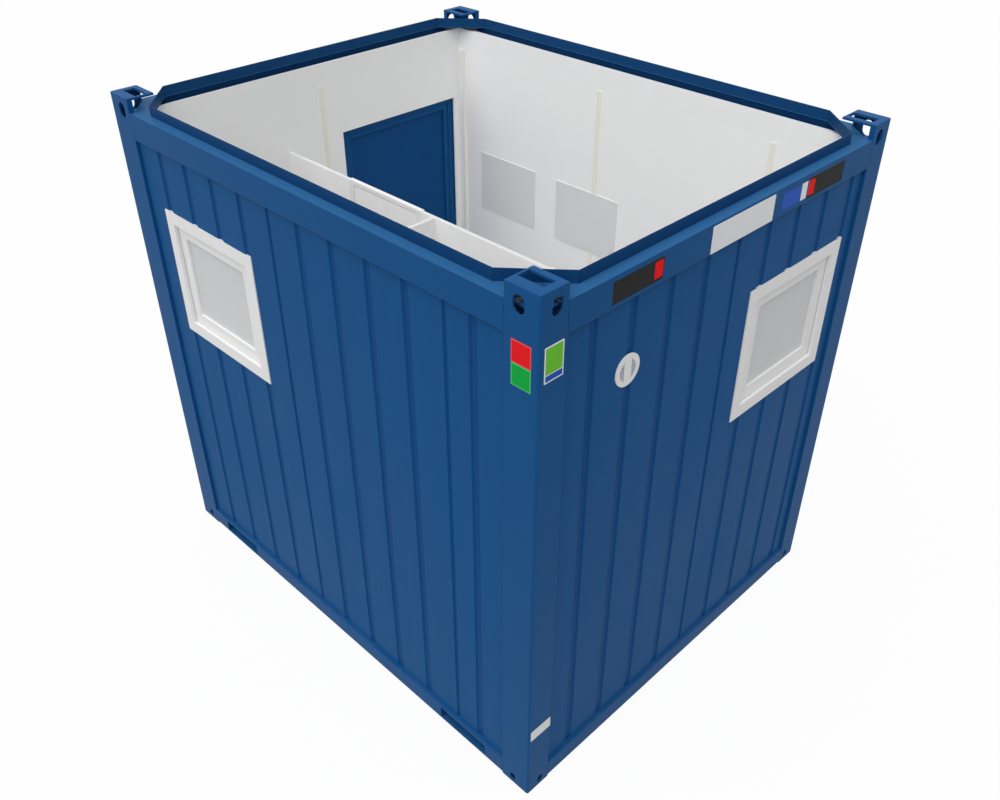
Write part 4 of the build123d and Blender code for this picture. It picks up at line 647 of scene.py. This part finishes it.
def plateRings(wall, middle, size, thick, radius, lift=0.0):
    # the rounded outline carried up the plate's edge profile, from the wall to the face
    outline, outward = roundedOutline(*size, radius)
    rings = []
    for inset, rise in plateProfile:
        flat = outline - outward * inset * thick
        rings.append(onWall(wall, middle[0] + flat[:, 0], middle[1] + flat[:, 1],
                            np.full(len(flat), lift + rise * thick)))
    return np.array(rings)


plateLooks = {
    "plateWhite": {"base": (240, 241, 243), "cloud": (244, 245, 246)},
    "plateBlue": {"base": (36, 88, 190), "cloud": (40, 93, 195)},
    "plateRed": {"base": (238, 28, 36), "cloud": (242, 33, 40)},
    "plateGreen": {"base": (18, 170, 66), "cloud": (22, 175, 71)},
    "plateLime": {"base": (112, 200, 56), "cloud": (118, 205, 62)},
    "plateRedRim": {"base": (238, 84, 90), "cloud": (240, 90, 96)},
    "plateGreenRim": {"base": (84, 196, 116), "cloud": (90, 200, 121)},
}
enamel = {"rough": (0.3, 0.4), "grainScale": 500.0, "grainDeep": 0.0001, "cloudScale": 10.0, "gloss": 0.04}
for name, look in plateLooks.items():
    made[name] = makeFinish(name, {**enamel, **look})

# how each kind of plate is made, in mm: lift off the steel, thickness and corner radius
plateKinds = {
    "board": {"lift": 0.0, "thick": 1.6, "radius": 3.0}, "strip": {"lift": 0.0, "thick": 1.2, "radius": 2.0},
    "foot": {"lift": 0.0, "thick": 1.0, "radius": 2.0}, "rim": {"lift": 0.0, "thick": 0.8, "radius": 2.0},
    "inset": {"lift": 0.7, "thick": 0.5, "radius": 1.0},
}
# each plate: wall, low and high corner in mm, kind, finish and material slot
plates = {
    "railPlate": ("right", (-213.5, 2609.0), (238.5, 2731.0), "board", "plateWhite", "pvc_white"),
    "railBluePlate": ("right", (302.0, 2631.0), (456.0, 2711.0), "strip", "plateBlue", "sheet_blue"),
    "railStripPlate": ("right", (457.0, 2631.0), (503.0, 2711.0), "strip", "plateWhite", "pvc_white"),
    "postRedRim": ("front", (1357.5, 2499.5), (1457.5, 2597.0), "rim", "plateRedRim", "flap_red"),
    "postRedPlate": ("front", (1363.0, 2505.0), (1452.0, 2591.5), "inset", "plateRed", "flap_red"),
    "postGreenRim": ("front", (1357.5, 2401.0), (1457.5, 2499.0), "rim", "plateGreenRim", "lining_white"),
    "postGreenPlate": ("front", (1363.0, 2406.5), (1452.0, 2493.5), "inset", "plateGreen", "lining_white"),
    "postBadge": ("right", (-1189.5, 2445.0), (-1087.5, 2597.0), "rim", "plateWhite", "pvc_white"),
    "postBadgeLime": ("right", (-1183.5, 2480.0), (-1093.5, 2591.0), "inset", "plateLime", "lining_white"),
    "postBadgeFoot": ("right", (-1183.5, 2451.0), (-1093.5, 2476.0), "inset", "plateBlue", "sheet_blue"),
    "footPlate": ("right", (-1203.5, 405.0), (-1069.5, 471.0), "foot", "plateWhite", "pvc_white"),
}
for name, (wall, low, high, kind, finish, slotName) in plates.items():
    middle = [(a + b) / 2 * mm for a, b in zip(low, high)]
    size = [(b - a) * mm for a, b in zip(low, high)]
    making = {label: value * mm for label, value in plateKinds[kind].items()}
    rings = plateRings(wall, middle, size, **making)
    meshPiece(name, rings, ringFaces(*rings.shape[:2]), made[finish], "container")
print("plates made:", len(plates))


# white fillers where the wall grooves run behind the top edge of a window
grooves = {"pitch": 0.236, "open": 0.048, "floor": 0.028, "sheet": 0.0175, "deep": 0.0075, "thick": 0.012}
grooveRows = {
    "front": {"first": -1.1195, "count": 4, "casing": "front_window_casing"},
    "right": {"first": 0.2615, "count": 4, "casing": "end_window_casing"},
}


def grooveFillers(wall, first, count, casing):
    # the groove's own trapezium, drawn down from the window's top edge and kept within its sides
    low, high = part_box(casing)
    axis = 0 if wall == "front" else 1
    half = np.array([-grooves["open"], -grooves["floor"], grooves["floor"], grooves["open"]]) / 2
    depth = -(grooves["sheet"] + grooves["deep"] * np.array([0, 1, 1, 0]))
    rings = []
    for step in range(count):
        middle = first + step * grooves["pitch"]
        across = np.clip(middle + half, low[axis], high[axis])
        for up in (high.z - grooves["thick"], high.z):
            rings.append(onWall(wall, across, np.full(len(across), up), depth))
    return np.array(rings)


for wall, row in grooveRows.items():
    rings = grooveFillers(wall, **row)
    around = rings.shape[1]
    faces = [face for step in range(row["count"]) for face in ringFaces(2, around, 2 * around * step)]
    meshPiece(wall + "GrooveFillers", rings, faces, made["windowPlastic"], "container")
print("groove fillers made")


# turned fittings: screw heads on the hinge straps, drains in the basins, and the keyhole of the lock
strapScrews = {
    "profile": ((4.2, 0.0), (4.2, 0.5), (3.7, 1.2), (2.2, 1.8)), "face": 0.010, "across": (0.942, 0.976),
    "straps": (0.400, 1.195, 1.990), "up": (-0.016, 0.016),
}
basinDrains = {
    "profile": ((30, 0.0), (30, 1.2), (28, 2.2), (22, 0.9), (19, 0.6), (19, 3.6), (16, 5.2), (6, 6.0)),
    "places": ((-0.9455, 0.9475, 0.875), (-0.2615, 0.9475, 0.875)),
}
keyhole = {
    "middle": (-0.2435, 1.070), "size": (0.0022, 0.0090), "thick": 0.0004, "round": 0.0010, "face": 0.010,
}


def turnedRings(place, out, profile, around=20):
    # radius and rise, in mm, carried round the axis: cos and sin of the turn along two directions across it
    out = np.array(out, float)
    side = np.array((1.0, 0.0, 0.0) if out[2] else (0.0, 0.0, 1.0))
    turn = np.linspace(0, 2 * np.pi, around, endpoint=False)[:, None]
    spoke = np.cos(turn) * side + np.sin(turn) * np.cross(out, side)
    reach = np.array(profile) * mm
    return np.array(place) + reach[:, :1, None] * spoke + reach[:, 1:, None] * out


def turnedPiece(name, places, out, profile, finish, body):
    # the same turned shape at each place, all in one mesh
    rings = np.array([turnedRings(place, out, profile) for place in places])
    count, around = rings.shape[1:3]
    starts = range(0, len(places) * count * around, count * around)
    faces = [face for start in starts for face in ringFaces(count, around, start)]
    meshPiece(name, rings, faces, made[finish], body)


screwPlaces = [
    (strapScrews["face"] - halfLength, across, strap + up)
    for strap in strapScrews["straps"] for across in strapScrews["across"] for up in strapScrews["up"]
]
turnedPiece(
    "strapScrews", screwPlaces, (-1, 0, 0), strapScrews["profile"],
    "brushedSteel", "entrance_door",
)
turnedPiece(
    "basinDrains", basinDrains["places"], (0, 0, 1), basinDrains["profile"],
    "chromePlate", "container",
)
# the keyhole is a thin dark plate on the lock's face, painted shade standing for its slot
keyRings = plateRings(
    "left", keyhole["middle"], keyhole["size"], keyhole["thick"], keyhole["round"], -keyhole["face"],
)
keyFaces = ringFaces(*keyRings.shape[:2])
meshPiece("keyhole", keyRings, keyFaces, made["sealRubber"], "entrance_door")
print("turned fittings made")
